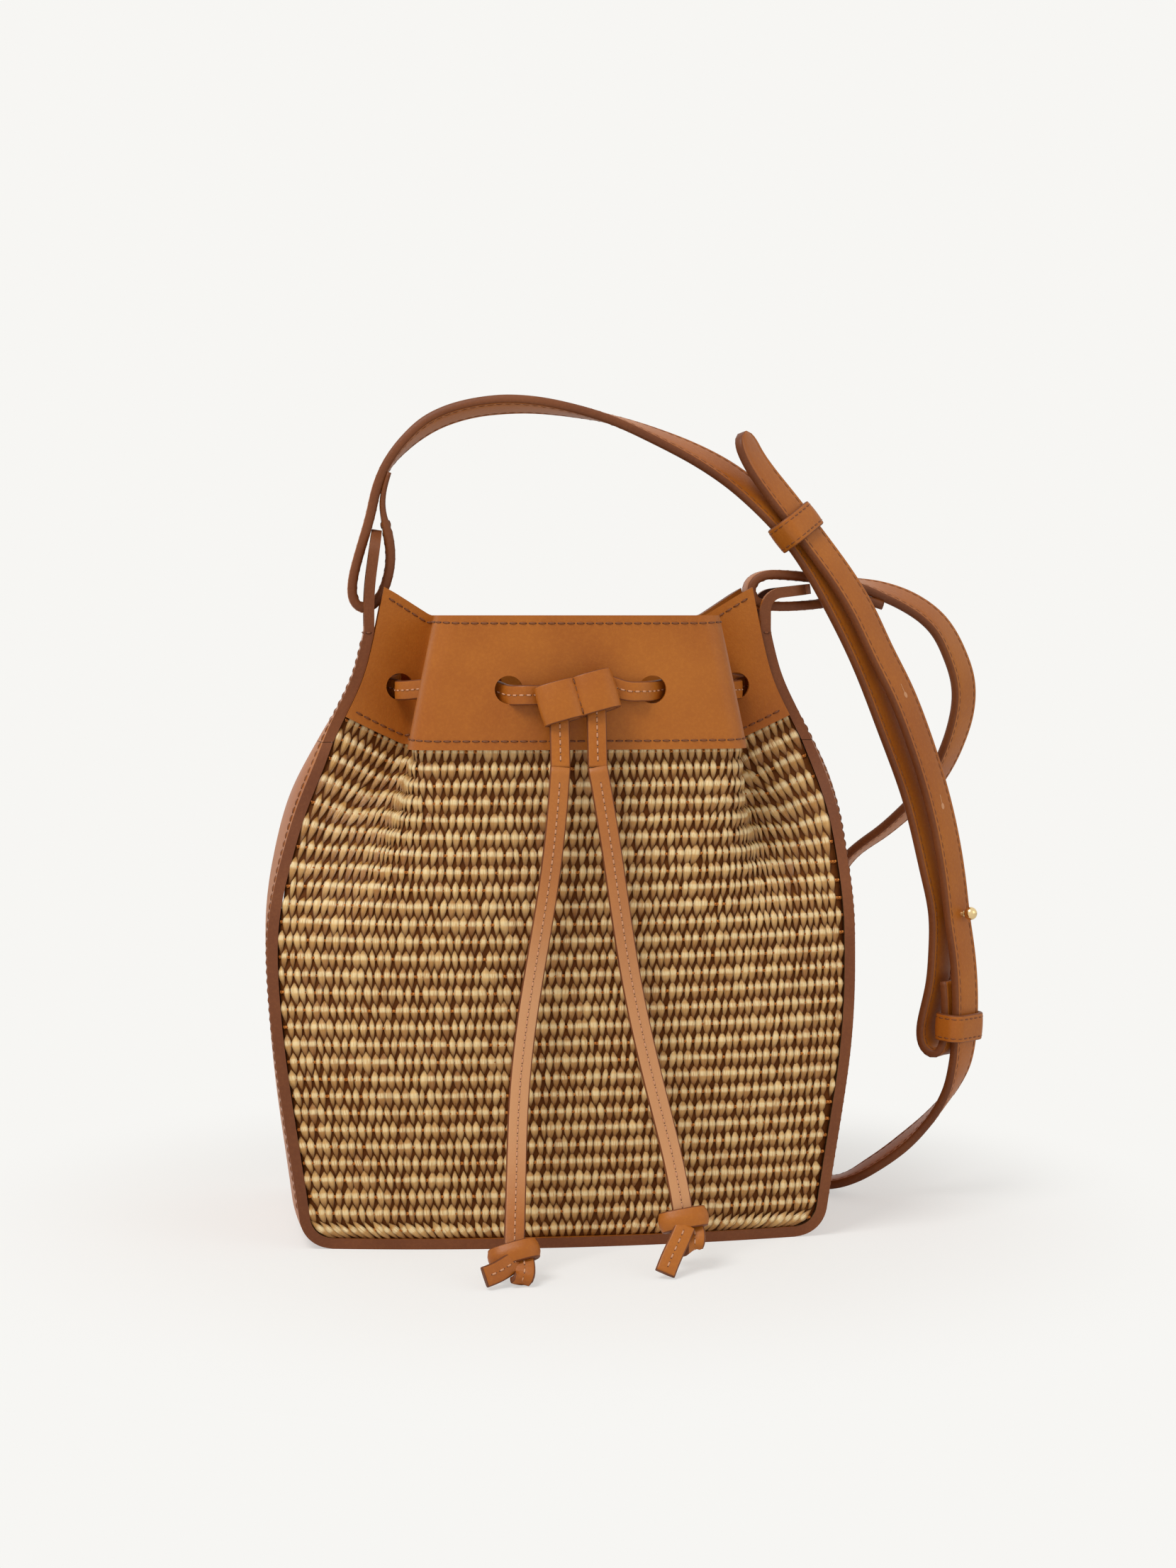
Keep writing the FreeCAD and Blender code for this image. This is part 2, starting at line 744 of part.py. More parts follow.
def drawstring_slider():
    """Two leather loops side by side, one round each tail."""
    inner_depth = LACE + 2 * SLIDER_PLAY + 1.6
    depth = inner_depth + 2 * SLIDER_WALL
    loops, bores = [], []
    for side in (1, -1):
        loop = rounded_block(LOOP_WIDTH, depth, SLIDER_HEIGHT, 0.48 * depth)
        bore = rounded_block(LOOP_WIDTH - 2 * SLIDER_WALL, inner_depth, SLIDER_HEIGHT * 2, 0.48 * inner_depth)
        for shape, group in ((loop, loops), (bore, bores)):
            shape.translate(Vector(side * LOOP_PITCH / 2, 0, 0))
            group.append(shape)
    shape = loops[0].fuse(loops[1]).cut(bores)
    shape.rotate(Vector(0, 0, 0), Vector(0, 1, 0), -SLIDER_ROLL)
    shape.rotate(Vector(0, 0, 0), Vector(1, 0, 0), -SLIDER_TILT)
    back_shift = (inner_depth - LACE) / 2 - SLIDER_PLAY
    _, forward = leg_frame()
    shape.translate(Vector(SLIDER_X, SLIDER_Y, SLIDER_Z) + forward * back_shift)
    return shape


def tail_start(side):
    down, _ = leg_frame()
    return Vector(leg_x(side), SLIDER_Y, SLIDER_Z) + down * (STUB_LENGTH + TAIL_GAP)


# Routes of the tails, from under the slider to the knots
LEFT_TAIL = [(-5.2, -68.2, 150.0), (-9.8, -68.8, 120.0), (-15.7, -70.9, 89.0), (-19.6, -76.5, 59.0),
             (-20.9, -86.0, 33.0), (-22.6, -98.5, 13.5)]
RIGHT_TAIL = [(13.9, -68.2, 150.0), (17.6, -68.9, 122.0), (22.0, -71.0, 93.0), (28.8, -75.5, 62.0),
              (35.2, -82.6, 36.0), (37.3, -88.5, 20.0)]
LEFT_KNOT = Vector(-23.4, -103.0, 7.0)
RIGHT_KNOT = Vector(37.6, -91.5, 13.2)
LEFT_CUT_END = Vector(-31.5, -113.0, 2.2)
RIGHT_CUT_END = Vector(29.0, -106.0, 2.4)


def tail(side, route):
    """A flat tail: straight runs joined by tangent arcs as large as the runs allow."""
    points = [tail_start(side)] + [Vector(*p) for p in route]
    edges = []
    last = points[0]
    for before, point, after in zip(points, points[1:], points[2:]):
        into, out = point - before, after - point
        turn = into.getAngle(out)
        trim = 0.45 * min(into.Length, out.Length)
        start = point - unit(into) * trim
        end = point + unit(out) * trim
        bisector = unit(unit(out) - unit(into))
        sag = trim / math.tan(turn / 2) * (1.0 / math.cos(turn / 2) - 1.0)
        edges += [Part.LineSegment(last, start).toShape(), Part.Arc(start, point + bisector * sag, end).toShape()]
        last = end
    edges.append(Part.LineSegment(last, points[-1]).toShape())
    path = Part.Wire(edges)
    tangent = unit(points[1] - points[0])
    across = unit(Vector(1, 0, 0) - tangent * tangent.x)
    normal = tangent.cross(across)
    corners = [
        points[0] + across * (a * LACE_WIDTH / 2) + normal * (b * LACE / 2)
        for a, b in ((1, 1), (-1, 1), (-1, -1), (1, -1))
    ]
    pipe = Part.BRepOffsetAPI.MakePipeShell(path)
    pipe.setBiNormalMode(across)
    pipe.add(Part.makePolygon(corners + [corners[0]]))
    pipe.build()
    pipe.makeSolid()
    return pipe.shape()


def knot(centre, cut_end):
    """A tied knot with the lace's cut end standing out of it."""
    ball = Part.makeSphere(1.0)
    matrix = FreeCAD.Matrix()
    matrix.scale(*KNOT_SIZE)
    ball = ball.transformGeometry(matrix)
    ball.translate(centre)
    tangent = unit(cut_end - centre)
    middle = (centre + cut_end) * 0.5
    stations = [(p.x, p.y, p.z, (0.8, -0.5, 0.25)) for p in (centre, middle + Vector(0, 0, 0.4), cut_end - tangent)]
    return ball.fuse(band_solid(band_frames(stations, 2.0), LACE_WIDTH, LACE)).removeSplitter()


# Shoulder strap


def fitted(stations):
    """A route moved to where the tabs, the base and the hinge line are."""
    left_shift = centre_x(TAB_ROOT) - half_width(TAB_ROOT) + LEATHER / 2 - ROUTE_LEFT_TAB
    right_shift = centre_x(TAB_ROOT) + half_width(TAB_ROOT) - LEATHER / 2 - ROUTE_RIGHT_TAB
    result = []
    for x, y, z, hint in stations:
        share = min(max((x - ROUTE_LEFT_TAB) / (ROUTE_RIGHT_TAB - ROUTE_LEFT_TAB), 0.0), 1.0)
        new_x = x + mix(left_shift, right_shift, share)
        new_y = y + (BASE_DEPTH / 2 - ROUTE_HALF_DEPTH) * ease((y - 10.0) / 30.0)
        rise = HINGE_HEIGHT - ROUTE_HINGE
        new_z = z + rise * min(z / ROUTE_HINGE, 1.0)
        result.append((new_x, new_y, new_z, hint))
    return result


# Each station of a strap's route holds its place and the direction of its width.
FLAT = (0, 1, 0)
STUD_SIDE = [
    (-62.2, 0, 281.5, FLAT), (-65.0, 0, 275.2, FLAT), (-66.6, 0, 268.5, FLAT), (-65.8, 0, 261, FLAT),
    (-65.3, 0, 253, FLAT), (-65.7, 0, 246.5, FLAT), (-67.0, 0, 240.5, FLAT), (-69.2, 0, 235.4, FLAT),
    (-72.2, 0, 231.9, FLAT), (-75.6, 0, 230.6, FLAT), (-78.6, 0, 232.6, FLAT), (-79.8, 0, 238, FLAT),
    (-78.2, 0, 247, FLAT), (-74.9, 0, 256.5, FLAT), (-71.9, 0, 266, FLAT), (-69.3, 0, 275.5, FLAT),
    (-65.9, 0, 283.6, FLAT),
    (-59.8, 0, 292.2, FLAT), (-51.4, 0, 299, FLAT), (-39.9, 0, 304, FLAT), (-26.1, 0, 306.6, FLAT),
    (-12, 0, 306.8, FLAT), (3.3, 0, 304.8, FLAT), (15.8, -1, 302, (0.03, 1, 0.06)),
    (32.3, -2, 296.2, (0.1, 0.97, 0.2)), (47, -4.2, 289.6, (0.18, 0.93, 0.28)),
    (62.2, -6.5, 280.6, (0.28, 0.89, 0.36)), (74, -8.3, 270.9, (0.38, 0.85, 0.34)),
    (88.3, -9.8, 255.3, (0.48, 0.82, 0.31)), (101.8, -10.4, 233.6, (0.52, 0.8, 0.27)),
    (113.1, -10, 211.5, (0.54, 0.8, 0.25)), (124.2, -8.8, 184.7, (0.56, 0.8, 0.2)),
    (134.4, -7.6, 157.7, (0.57, 0.8, 0.2)), (141.6, -6.6, 130, (0.58, 0.8, 0.15)),
    (144.9, -6.2, 114.5, (0.6, 0.8, 0.05)), (145.3, -5.6, 99, (0.6, 0.8, 0)), (144.2, -4.8, 85, (0.59, 0.81, 0)),
    (141.8, -4, 74, (0.56, 0.83, 0)), (141.2, -3.6, 66, (0.55, 0.83, 0)), (142.6, -4.5, 61.8, (0.55, 0.83, 0)),
    (145.4, -6.2, 60.2, (0.55, 0.83, 0)), (148.2, -7.7, 62.4, (0.56, 0.83, 0)), (149.4, -8.3, 67, (0.57, 0.82, 0)),
    (149.8, -8.4, 73, (0.59, 0.81, 0)), (149.8, -8.2, 80, (0.6, 0.8, 0)), (149.3, -7.8, 88, (0.6, 0.8, 0)),
]
HOLE_SIDE = [
    (65.9, -10.8, 296.4, (0.22, 0.93, 0.3)), (69.1, -11.0, 288.6, (0.25, 0.92, 0.3)),
    (74.5, -11.2, 280.2, (0.3, 0.9, 0.3)), (82.4, -11.9, 270.1, (0.4, 0.86, 0.32)),
    (92.5, -12.8, 256.9, (0.48, 0.82, 0.31)), (102.4, -13.7, 242.6, (0.5, 0.81, 0.3)),
    (110.7, -14.1, 228.1, (0.52, 0.8, 0.28)), (117.4, -13.9, 213.7, (0.54, 0.8, 0.25)),
    (124.8, -13.4, 199.2, (0.55, 0.8, 0.22)), (130.8, -13, 184.9, (0.56, 0.8, 0.2)),
    (141.0, -11.8, 155.6, (0.57, 0.8, 0.2)), (145.5, -11.1, 138.4, (0.58, 0.8, 0.17)),
    (148.7, -10.3, 122.3, (0.59, 0.8, 0.1)), (150.4, -10.1, 111.4, (0.6, 0.8, 0.06)),
    (152.0, -10.5, 100.5, (0.6, 0.8, 0.04)), (153.1, -10.9, 89.4, (0.6, 0.8, 0.02)),
    (153.5, -11, 77, (0.6, 0.8, 0)), (153.2, -10.8, 67, (0.58, 0.81, -0.02)),
    (152.3, -9, 56, (0.5, 0.86, -0.1)), (149.6, -5.2, 45, (0.3, 0.95, -0.15)),
    (143.7, 1.6, 33.2, (0.1, 0.99, -0.1)), (131.8, 6, 20.5, (0, 1, 0)), (121, 9.4, 12, (0.05, 1, 0)),
    (112, 13.4, 6.4, (0.3, 0.95, 0)), (105.4, 20, 4, (0.6, 0.8, 0)), (101.6, 30, 3.6, (0.9, 0.44, 0)),
    (100.4, 42, 4, (1, 0.1, 0)), (100.6, 54, 7, (1, 0, 0)), (102, 63.5, 15, (1, 0, 0)),
    (104.4, 68, 28, (1, 0.05, 0)), (106.8, 70.4, 46, (0.97, 0.2, 0)), (108.8, 70.6, 70, (0.9, 0.4, 0)),
    (111, 69, 95, (0.75, 0.65, -0.1)), (115.4, 64.5, 116, (0.5, 0.85, -0.2)),
    (124.2, 57, 131.4, (0.25, 0.95, -0.15)), (133.1, 50, 139.6, (0.15, 0.95, -0.15)),
    (142, 42, 149.1, (0.15, 0.95, -0.15)), (151.5, 33, 162.5, (0.25, 0.93, -0.1)),
    (156.8, 26, 176.4, (0.4, 0.9, -0.05)), (159.4, 21, 189.8, (0.5, 0.86, 0)),
    (158.6, 17, 201.7, (0.5, 0.86, 0.1)), (154, 14, 213.6, (0.45, 0.87, 0.2)),
    (146.6, 11, 224.6, (0.3, 0.9, 0.3)), (136, 9.4, 232.4, (0.15, 0.92, 0.35)),
    (125, 7.6, 236.8, (0.05, 0.95, 0.2)), (114, 6, 239.6, (0, 1, 0.1)), (103, 4.2, 241.4, FLAT),
    (92, 1.8, 242.7, FLAT), (82, 0, 243.4, FLAT), (75.4, 0, 242.9, FLAT), (71.4, 0, 240.2, FLAT),
    (70.7, 0, 236.4, FLAT), (73, 0, 233, FLAT), (78, 0, 231.6, FLAT), (90, 1.8, 231.6, FLAT),
    (102, 4.2, 233.0, FLAT), (112, 6, 234.6, (0, 1, 0.06)), (122.4, 7.6, 232.8, (0.04, 0.97, 0.15)),
]
STUD_PLACE = Vector(144.9, -6.2, 114.0)
UPPER_KEEPER_PLACE = Vector(87.0, -13.2, 263.4)
LOWER_KEEPER_PLACE = Vector(153.8, -10.6, 73.2)
TONGUE_SHARE = 0.965
BAND_STEP = 2.0


def route_place(place):
    """A place near the strap's route, moved as the route is."""
    return Vector(*fitted([(place.x, place.y, place.z, None)])[0][:3])


def stud_side_frames():
    return band_frames(fitted(STUD_SIDE), BAND_STEP)


def hole_side_frames():
    return band_frames(fitted(HOLE_SIDE), BAND_STEP)


def stud_axis():
    """The stud's foot and direction, the gap to the hole side and the length along it."""
    upper = hole_side_frames()
    lower = stud_side_frames()
    foot, tangent, across = frame_at(lower, length_to(lower, route_place(STUD_PLACE)))
    normal = tangent.cross(across)
    if normal.y > 0:
        normal = normal * -1.0
    over = min(upper, key=lambda frame: (frame[0] - foot).cross(normal).Length)[0]
    return foot, normal, (over - foot).dot(normal), length_to(upper, over)


def strap_stud_side():
    """The strap from the left tab, its lower end folded back, with a hole for the stud's screw."""
    foot, normal, _, _ = stud_axis()
    hole = Part.makeCylinder(STUD_POST, 3 * STRAP, foot - normal * (1.5 * STRAP), normal)
    return band_solid(stud_side_frames(), STRAP_WIDTH, STRAP).cut(hole)


def strap_hole_side():
    """The strap from the right tab, with a round tip, and holes with slits for the stud."""
    frames = hole_side_frames()
    shape = band_solid(frames, STRAP_WIDTH, STRAP)
    tip = frame_at(frames, TIP_RADIUS)
    reach = 3 * STRAP
    block = Part.makeBox(2 * STRAP_WIDTH, reach, 3 * TIP_RADIUS, Vector(-STRAP_WIDTH, -reach / 2, -3 * TIP_RADIUS))
    drum = Part.makeCylinder(TIP_RADIUS, reach, Vector(0, -reach / 2, 0), Vector(0, 1, 0))
    cutters = [placed(block.cut(drum), tip)]
    place = stud_axis()[3]
    for k in (-2, -1, 0, 1):
        frame = frame_at(frames, place + k * BUTTON_PITCH)
        round_hole = Part.makeCylinder(BUTTON_HOLE, reach, Vector(0, -reach / 2, 0), Vector(0, 1, 0))
        slit = Part.makeBox(SLIT_WIDTH, reach, BUTTON_SLIT, Vector(-SLIT_WIDTH / 2, -reach / 2, 0))
        cutters += [placed(round_hole, frame), placed(slit, frame)]
    return shape.cut(cutters)


def stud_ball():
    """The stud's ball and post, from the face of the stud side through the hole side."""
    foot, normal, gap, _ = stud_axis()
    start = foot + normal * (STRAP / 2 + STUD_SEAT)
    length = gap + STUD_SEAT
    post = Part.makeCylinder(STUD_POST * 0.85, length, start, normal)
    ring = Part.makeCylinder(STUD_BALL, STUD_RING, start, normal)
    ball = Part.makeSphere(STUD_BALL, start + normal * (length + STUD_BALL * 1.1))
    return post.fuse([ring, ball]).removeSplitter()


def stud_screw():
    """The screw on the far face of the stud side."""
    foot, normal, _, _ = stud_axis()
    back = foot - normal * (STRAP / 2 + STUD_SEAT)
    head = Part.makeCylinder(STUD_HEAD, STUD_HEAD_THICKNESS, back - normal * STUD_HEAD_THICKNESS, normal)
    shank = Part.makeCylinder(STUD_POST - 0.15, STRAP + STUD_SEAT, back, normal)
    return head.fuse(shank).removeSplitter()


def keeper(frame, opening):
    """A leather ring round layers of strap."""
    inner_width = STRAP_WIDTH + 2 * KEEPER_PLAY
    outer = rounded_block(inner_width + 2 * KEEPER_WALL, opening + 2 * KEEPER_WALL, KEEPER_WIDTH, 2.6)
    inner = rounded_block(inner_width, opening, KEEPER_WIDTH * 2, 0.9)
    return placed(outer.cut(inner), frame)


def keeper_frame(upper, lower, place):
    """The frame midway between two layers of strap, and the room that both take."""
    top = frame_at(upper, length_to(upper, place))
    normal = top[1].cross(top[2])
    below = min(lower, key=lambda f: (f[0] - top[0]).cross(normal).Length)
    spread = abs((top[0] - below[0]).dot(normal))
    centre = (top[0] + below[0]) * 0.5
    return (centre, top[1], top[2]), spread + STRAP


def sliding_keeper():
    frame, room = keeper_frame(hole_side_frames(), stud_side_frames(), route_place(UPPER_KEEPER_PLACE))
    return keeper(frame, room + UPPER_ROOM)


def fixed_keeper():
    """The lower keeper, round the hole side and the folded end of the stud side."""
    lower = stud_side_frames()
    tongue = lower[int(len(lower) * TONGUE_SHARE):]
    frame, room = keeper_frame(hole_side_frames(), tongue, route_place(LOWER_KEEPER_PLACE))
    return keeper(frame, room + LOWER_ROOM)


def main():
    back = Vector(0, 1, 0)
    parts = {
        "base_panel": base_panel(),
        "base_board": base_board(),
        "left_gusset": gusset(-1),
        "right_gusset": gusset(1),
        "left_tab": tab(-1),
        "right_tab": tab(1),
        "front_woven_panel": woven_panel(),
        "front_lining": lining(),
        "front_collar": collar(),
        "drawstring_run": drawstring_run(),
        "drawstring_slider": drawstring_slider(),
        "drawstring_left_tail": tail(-1, LEFT_TAIL),
        "left_knot": knot(LEFT_KNOT, LEFT_CUT_END),
        "drawstring_right_tail": tail(1, RIGHT_TAIL),
        "right_knot": knot(RIGHT_KNOT, RIGHT_CUT_END),
        "strap_stud_side": strap_stud_side(),
        "strap_hole_side": strap_hole_side(),
        "fixed_keeper": fixed_keeper(),
        "sliding_keeper": sliding_keeper(),
        "stud_ball": stud_ball(),
        "stud_screw": stud_screw(),
    }
    for name in ("woven_panel", "lining", "collar"):
        parts["back_" + name] = mirrored(parts["front_" + name], back)
    os.makedirs("parts", exist_ok=True)
    for name, shape in parts.items():
        shape.exportStep(os.path.join("parts", name + ".step"))


main()
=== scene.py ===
import math

import bpy
import numpy as np
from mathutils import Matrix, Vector


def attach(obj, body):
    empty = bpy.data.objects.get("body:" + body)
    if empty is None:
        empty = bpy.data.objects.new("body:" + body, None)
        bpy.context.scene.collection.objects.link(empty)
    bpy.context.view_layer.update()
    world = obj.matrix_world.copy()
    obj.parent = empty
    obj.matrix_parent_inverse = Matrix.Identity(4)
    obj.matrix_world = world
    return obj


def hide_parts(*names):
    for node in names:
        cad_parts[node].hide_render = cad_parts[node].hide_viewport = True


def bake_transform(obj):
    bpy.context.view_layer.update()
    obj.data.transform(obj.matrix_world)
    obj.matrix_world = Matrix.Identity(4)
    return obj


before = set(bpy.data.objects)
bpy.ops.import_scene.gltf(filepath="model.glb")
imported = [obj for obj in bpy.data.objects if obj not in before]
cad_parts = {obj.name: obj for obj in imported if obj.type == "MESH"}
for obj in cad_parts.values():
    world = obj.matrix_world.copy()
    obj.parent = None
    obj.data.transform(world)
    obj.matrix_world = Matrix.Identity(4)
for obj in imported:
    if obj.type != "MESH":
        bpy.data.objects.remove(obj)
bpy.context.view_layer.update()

# Leather of the whole bag: smooth tan hide with a fine grain, and a brown paint on its cut edges.
# It is coloured by noise in the object's own coordinates, and its gloss stays soft.

MM = 0.001
random = np.random.default_rng(7)


class Shade:
    """A socket of a material, with arithmetic, and a way to add any other node."""

    def __init__(self, tree, socket=None):
        self.tree = tree
        self.socket = socket

    def make(self, kind, settings=None, sockets=None, out=0):
        node = self.tree.nodes.new(kind)
        for name, value in (settings or {}).items():
            if name == "stops":
                ramp = node.color_ramp
                while len(ramp.elements) < len(value):
                    ramp.elements.new(0.5)
                for element, (place, tint) in zip(ramp.elements, value):
                    element.position = place
                    element.color = tint
            else:
                setattr(node, name, value)
        for name, value in (sockets or {}).items():
            if isinstance(value, Shade):
                self.tree.links.new(value.socket, node.inputs[name])
            else:
                node.inputs[name].default_value = value
        return Shade(self.tree, node.outputs[out])

    def maths(self, operation, *others):
        sockets = {0: self}
        for place, other in enumerate(others, 1):
            sockets[place] = other
        return self.make("ShaderNodeMath", {"operation": operation}, sockets)

    def __add__(self, other):
        return self.maths("ADD", other)

    def __sub__(self, other):
        return self.maths("SUBTRACT", other)

    def __rsub__(self, other):
        return self.maths("MULTIPLY", -1.0).maths("ADD", other)

    def __mul__(self, other):
        return self.maths("MULTIPLY", other)

    def step(self, low, high):
        """0 below low and 1 above high, smooth between."""
        sockets = {"Value": self, "From Min": low, "From Max": high}
        return self.make("ShaderNodeMapRange", {"interpolation_type": "SMOOTHSTEP"}, sockets)

    def blend(self, one, other):
        """A colour between two, by this share."""
        return self.make("ShaderNodeMix", {"data_type": "RGBA"}, {"Factor": self, 6: one, 7: other}, 2)

    __radd__ = __add__
    __rmul__ = __mul__


def colour(red, green, blue):
    """A colour as it looks on a screen, turned into what the shader takes."""
    return tuple((c / 255) ** 2.2 for c in (red, green, blue)) + (1.0,)


def new_material(name, build, **values):
    """A material whose shader takes plain values, and whatever build returns by socket name."""
    material = bpy.data.materials.new(name)
    material.use_nodes = True
    tree = material.node_tree
    shader = tree.nodes["Principled BSDF"]
    start = Shade(tree)
    for socket, value in build(start).items():
        if isinstance(value, Shade):
            tree.links.new(value.socket, shader.inputs[socket])
        else:
            shader.inputs[socket].default_value = value
    for socket, value in values.items():
        shader.inputs[socket.replace("_", " ")].default_value = value
    return material


def hide_look(face, dark, grain=1.0, gloss=0.42):
    """Leather with clouds of colour, pores and fine creases."""

    def build(start):
        place = start.make("ShaderNodeTexCoord", out=3)
        clouds = start.make("ShaderNodeTexNoise", None, {"Vector": place, "Scale": 26.0, "Detail": 4.0})
        fine = {"Vector": place, "Scale": 900.0, "Detail": 2.0}
        specks = start.make("ShaderNodeTexNoise", None, fine)
        pores = start.make("ShaderNodeTexVoronoi", None, {"Vector": place, "Scale": 1500.0})
        creases = start.make(
            "ShaderNodeTexNoise", None, {"Vector": place, "Scale": 420.0, "Detail": 5.0, "Distortion": 0.8}
        )
        share = clouds.step(0.3, 0.72) * 0.75 + specks.step(0.42, 0.7) * 0.25
        height = pores * 0.5 + creases * 0.8
        bump = start.make(
            "ShaderNodeBump", None, {"Strength": 0.16 * grain, "Distance": 0.0004, "Height": height}
        )
        return {
            "Base Color": share.blend(colour(*dark), colour(*face)),
            "Roughness": clouds * 0.12 + (gloss - 0.06),
            "Normal": bump,
        }

    return build


TAN = ((178, 105, 37), (158, 87, 28))
PAINT = ((126, 74, 42), (104, 57, 30))
ROUGH = ((150, 104, 66), (128, 84, 50))
leather = new_material("tan_leather", hide_look(*TAN), Specular_IOR_Level=0.32)
edge_paint = new_material("painted_edge", hide_look(*PAINT, grain=0.8, gloss=0.5), Specular_IOR_Level=0.3)
flesh_side = new_material("inner_leather", hide_look(*ROUGH, grain=1.6, gloss=0.7), Specular_IOR_Level=0.3)
SHARP_EDGE = math.radians(38)


def soften(piece, materials, choose, bevel):
    """Soft edges on a CAD mesh; choose gives each face's material from its normal and centre."""
    piece.data.materials.clear()
    for material in materials:
        piece.data.materials.append(material)
    for face in piece.data.polygons:
        face.material_index = choose(face.normal, face.center)
        face.use_smooth = True
    rounding = piece.modifiers.new("rounding", "BEVEL")
    rounding.width = bevel * MM
    rounding.segments = 2
    rounding.limit_method = "ANGLE"
    rounding.angle_limit = SHARP_EDGE
    rounding.harden_normals = True


# The bag's outline: heights, widths and depths that the woven front and back, their linings and the
# seams share. It is the same skin as the solid's, drawn through the same rows of points.

WIDTHS = [(0, 190), (112, 215), (150, 204.6), (184, 181.4), (208, 159.6), (240, 145.2)]
STRIP_WIDTHS = [(0, 100), (61.6, 104), (112, 86), (145.5, 62), (181, 27.6), (191.5, 24)]
DEPTHS = [(0, 56), (67.2, 60), (112, 60), (180, 53), (201.5, 52), (240, 50)]
LEANS = [(0, 0), (100.8, 0), (172.5, 5)]
BULGES = [(0, 3.5), (44.8, 2.975), (100.8, 1.225), (162, 3.85), (181, 2.1), (191.5, 0)]
BASE_CORNER = 12.0
STRIP = 3.8
EDGE_SET = 0.8
SEAM_GAP = 0.15
COLLAR_BOTTOM = 180.0
COLLAR_TOP = 228.0
COLLAR_RISE = 10.5
PLEAT_START = 112.0
PLEAT_END = 185.0
LINE_COUNTS = (6, 6, 3)
CORNER_COUNT = 6
MIDDLE_COUNT = 2
PLAIN_SHARES = (0.80, 0.58, 0.28)
PLAIN_RADII = (26.0, 24.0, 24.0)
PLEAT_RADIUS = 6.0
SIDES = ((-1, "left"), (1, "right"))
FACES = (("front", False), ("back", True))


def mix(a, b, share):
    """A number or point between two, at this share of the way."""
    if isinstance(a, tuple):
        return tuple(mix(p, q, share) for p, q in zip(a, b))
    return a + (b - a) * share


def ease(share):
    """0 below 0 and 1 above 1, smooth between."""
    share = min(max(share, 0.0), 1.0)
    return share * share * (3.0 - 2.0 * share)


def glide(at, stations):
    """A smooth curve through (position, value) stations, level beyond both ends."""
    if at <= stations[0][0]:
        return stations[0][1]
    if at >= stations[-1][0]:
        return stations[-1][1]
    slopes = [(b[1] - a[1]) / (b[0] - a[0]) for a, b in zip(stations, stations[1:])]
    inner = [0.0 if s * t <= 0 else 2 * s * t / (s + t) for s, t in zip(slopes, slopes[1:])]
    tangents = [slopes[0]] + inner + [slopes[-1]]
    i = next(k for k in range(len(slopes)) if at <= stations[k + 1][0])
    (low, start), (high, end) = stations[i], stations[i + 1]
    span = high - low
    t = (at - low) / span
    return (
        start * (1 + 2 * t) * (1 - t) ** 2
        + tangents[i] * span * t * (1 - t) ** 2
        + end * t * t * (3 - 2 * t)
        + tangents[i + 1] * span * t * t * (t - 1)
    )


def half_width(z):
    return glide(z, WIDTHS) / 2


def inside_half_width(z):
    """Half the width between the side strips, round the bottom corners too."""
    if z >= BASE_CORNER:
        slope = half_width(z + 0.5) - half_width(z - 0.5)
        return half_width(z) - STRIP * math.sqrt(1.0 + slope * slope)
    reach = BASE_CORNER - STRIP
    rise = math.sqrt(max(reach**2 - (BASE_CORNER - z) ** 2, 0.0))
    return half_width(BASE_CORNER) - BASE_CORNER + rise


def crease_place(z):
    """How far out the collar's corner fold is, at one height."""
    return mix(59.5, 49.5, (z - COLLAR_BOTTOM) / (COLLAR_TOP - COLLAR_BOTTOM))


def half_line(z):
    """The plan line of the front from the right seam to the middle, at one height."""
    width = inside_half_width(z) - SEAM_GAP
    seam_depth = glide(z, STRIP_WIDTHS) / 2 - EDGE_SET
    depth = glide(z, DEPTHS)

    def plain(share):
        return (share * width, -seam_depth - (depth - seam_depth) * (1 - share**2.4))

    crease = crease_place(z)
    pleated = [(crease - 3.0, -5.0), (crease, 3.0 - depth), (crease / 2, -depth)]
    share = ease((z - PLEAT_START) / (PLEAT_END - PLEAT_START))
    corners = [mix(plain(s), p, share) for s, p in zip(PLAIN_SHARES, pleated)]
    radii = [mix(wide, PLEAT_RADIUS, share) for wide in PLAIN_RADII[:2]] + [PLAIN_RADII[2]]
    stops = corners + [(-corners[-1][0], corners[-1][1])]
    points = [(width, -seam_depth)]
    last = points[0]
    for i, corner in enumerate(corners):
        source = last if i == 0 else corners[i - 1]
        before = math.dist(corner, source)
        after = math.dist(corner, stops[i + 1])
        trim = min(radii[i], 0.48 * before, 0.48 * after)
        start = mix(corner, source, trim / before)
        end = mix(corner, stops[i + 1], trim / after)
        points += [mix(last, start, k / LINE_COUNTS[i]) for k in range(1, LINE_COUNTS[i] + 1)]
        for k in range(1, CORNER_COUNT + 1):
            t = k / CORNER_COUNT
            points.append(mix(mix(start, corner, t), mix(corner, end, t), t))
        last = end
    middle = (0.0, last[1])
    return points + [mix(last, middle, k / MIDDLE_COUNT) for k in range(1, MIDDLE_COUNT + 1)]


HALF_COLUMNS = sum(LINE_COUNTS) + len(LINE_COUNTS) * CORNER_COUNT + MIDDLE_COUNT + 1


def front_rows(heights):
    """Points of the front's outer surface, one row for each height, from left seam to right."""
    rows = []
    for z in heights:
        half = []
        for column in range(HALF_COLUMNS):
            share = max(0.0, 1.0 - column / LINE_COUNTS[0])
            height = z + share * COLLAR_RISE * ease((z - 130.0) / 50.0)
            x, y = half_line(height)[column]
            half.append((x, y, height))
        left = [(glide(h, LEANS) - x, y, h) for x, y, h in half]
        right = [(glide(h, LEANS) + x, y, h) for x, y, h in half]
        rows.append(left + right[-2::-1])
    return np.array(rows)


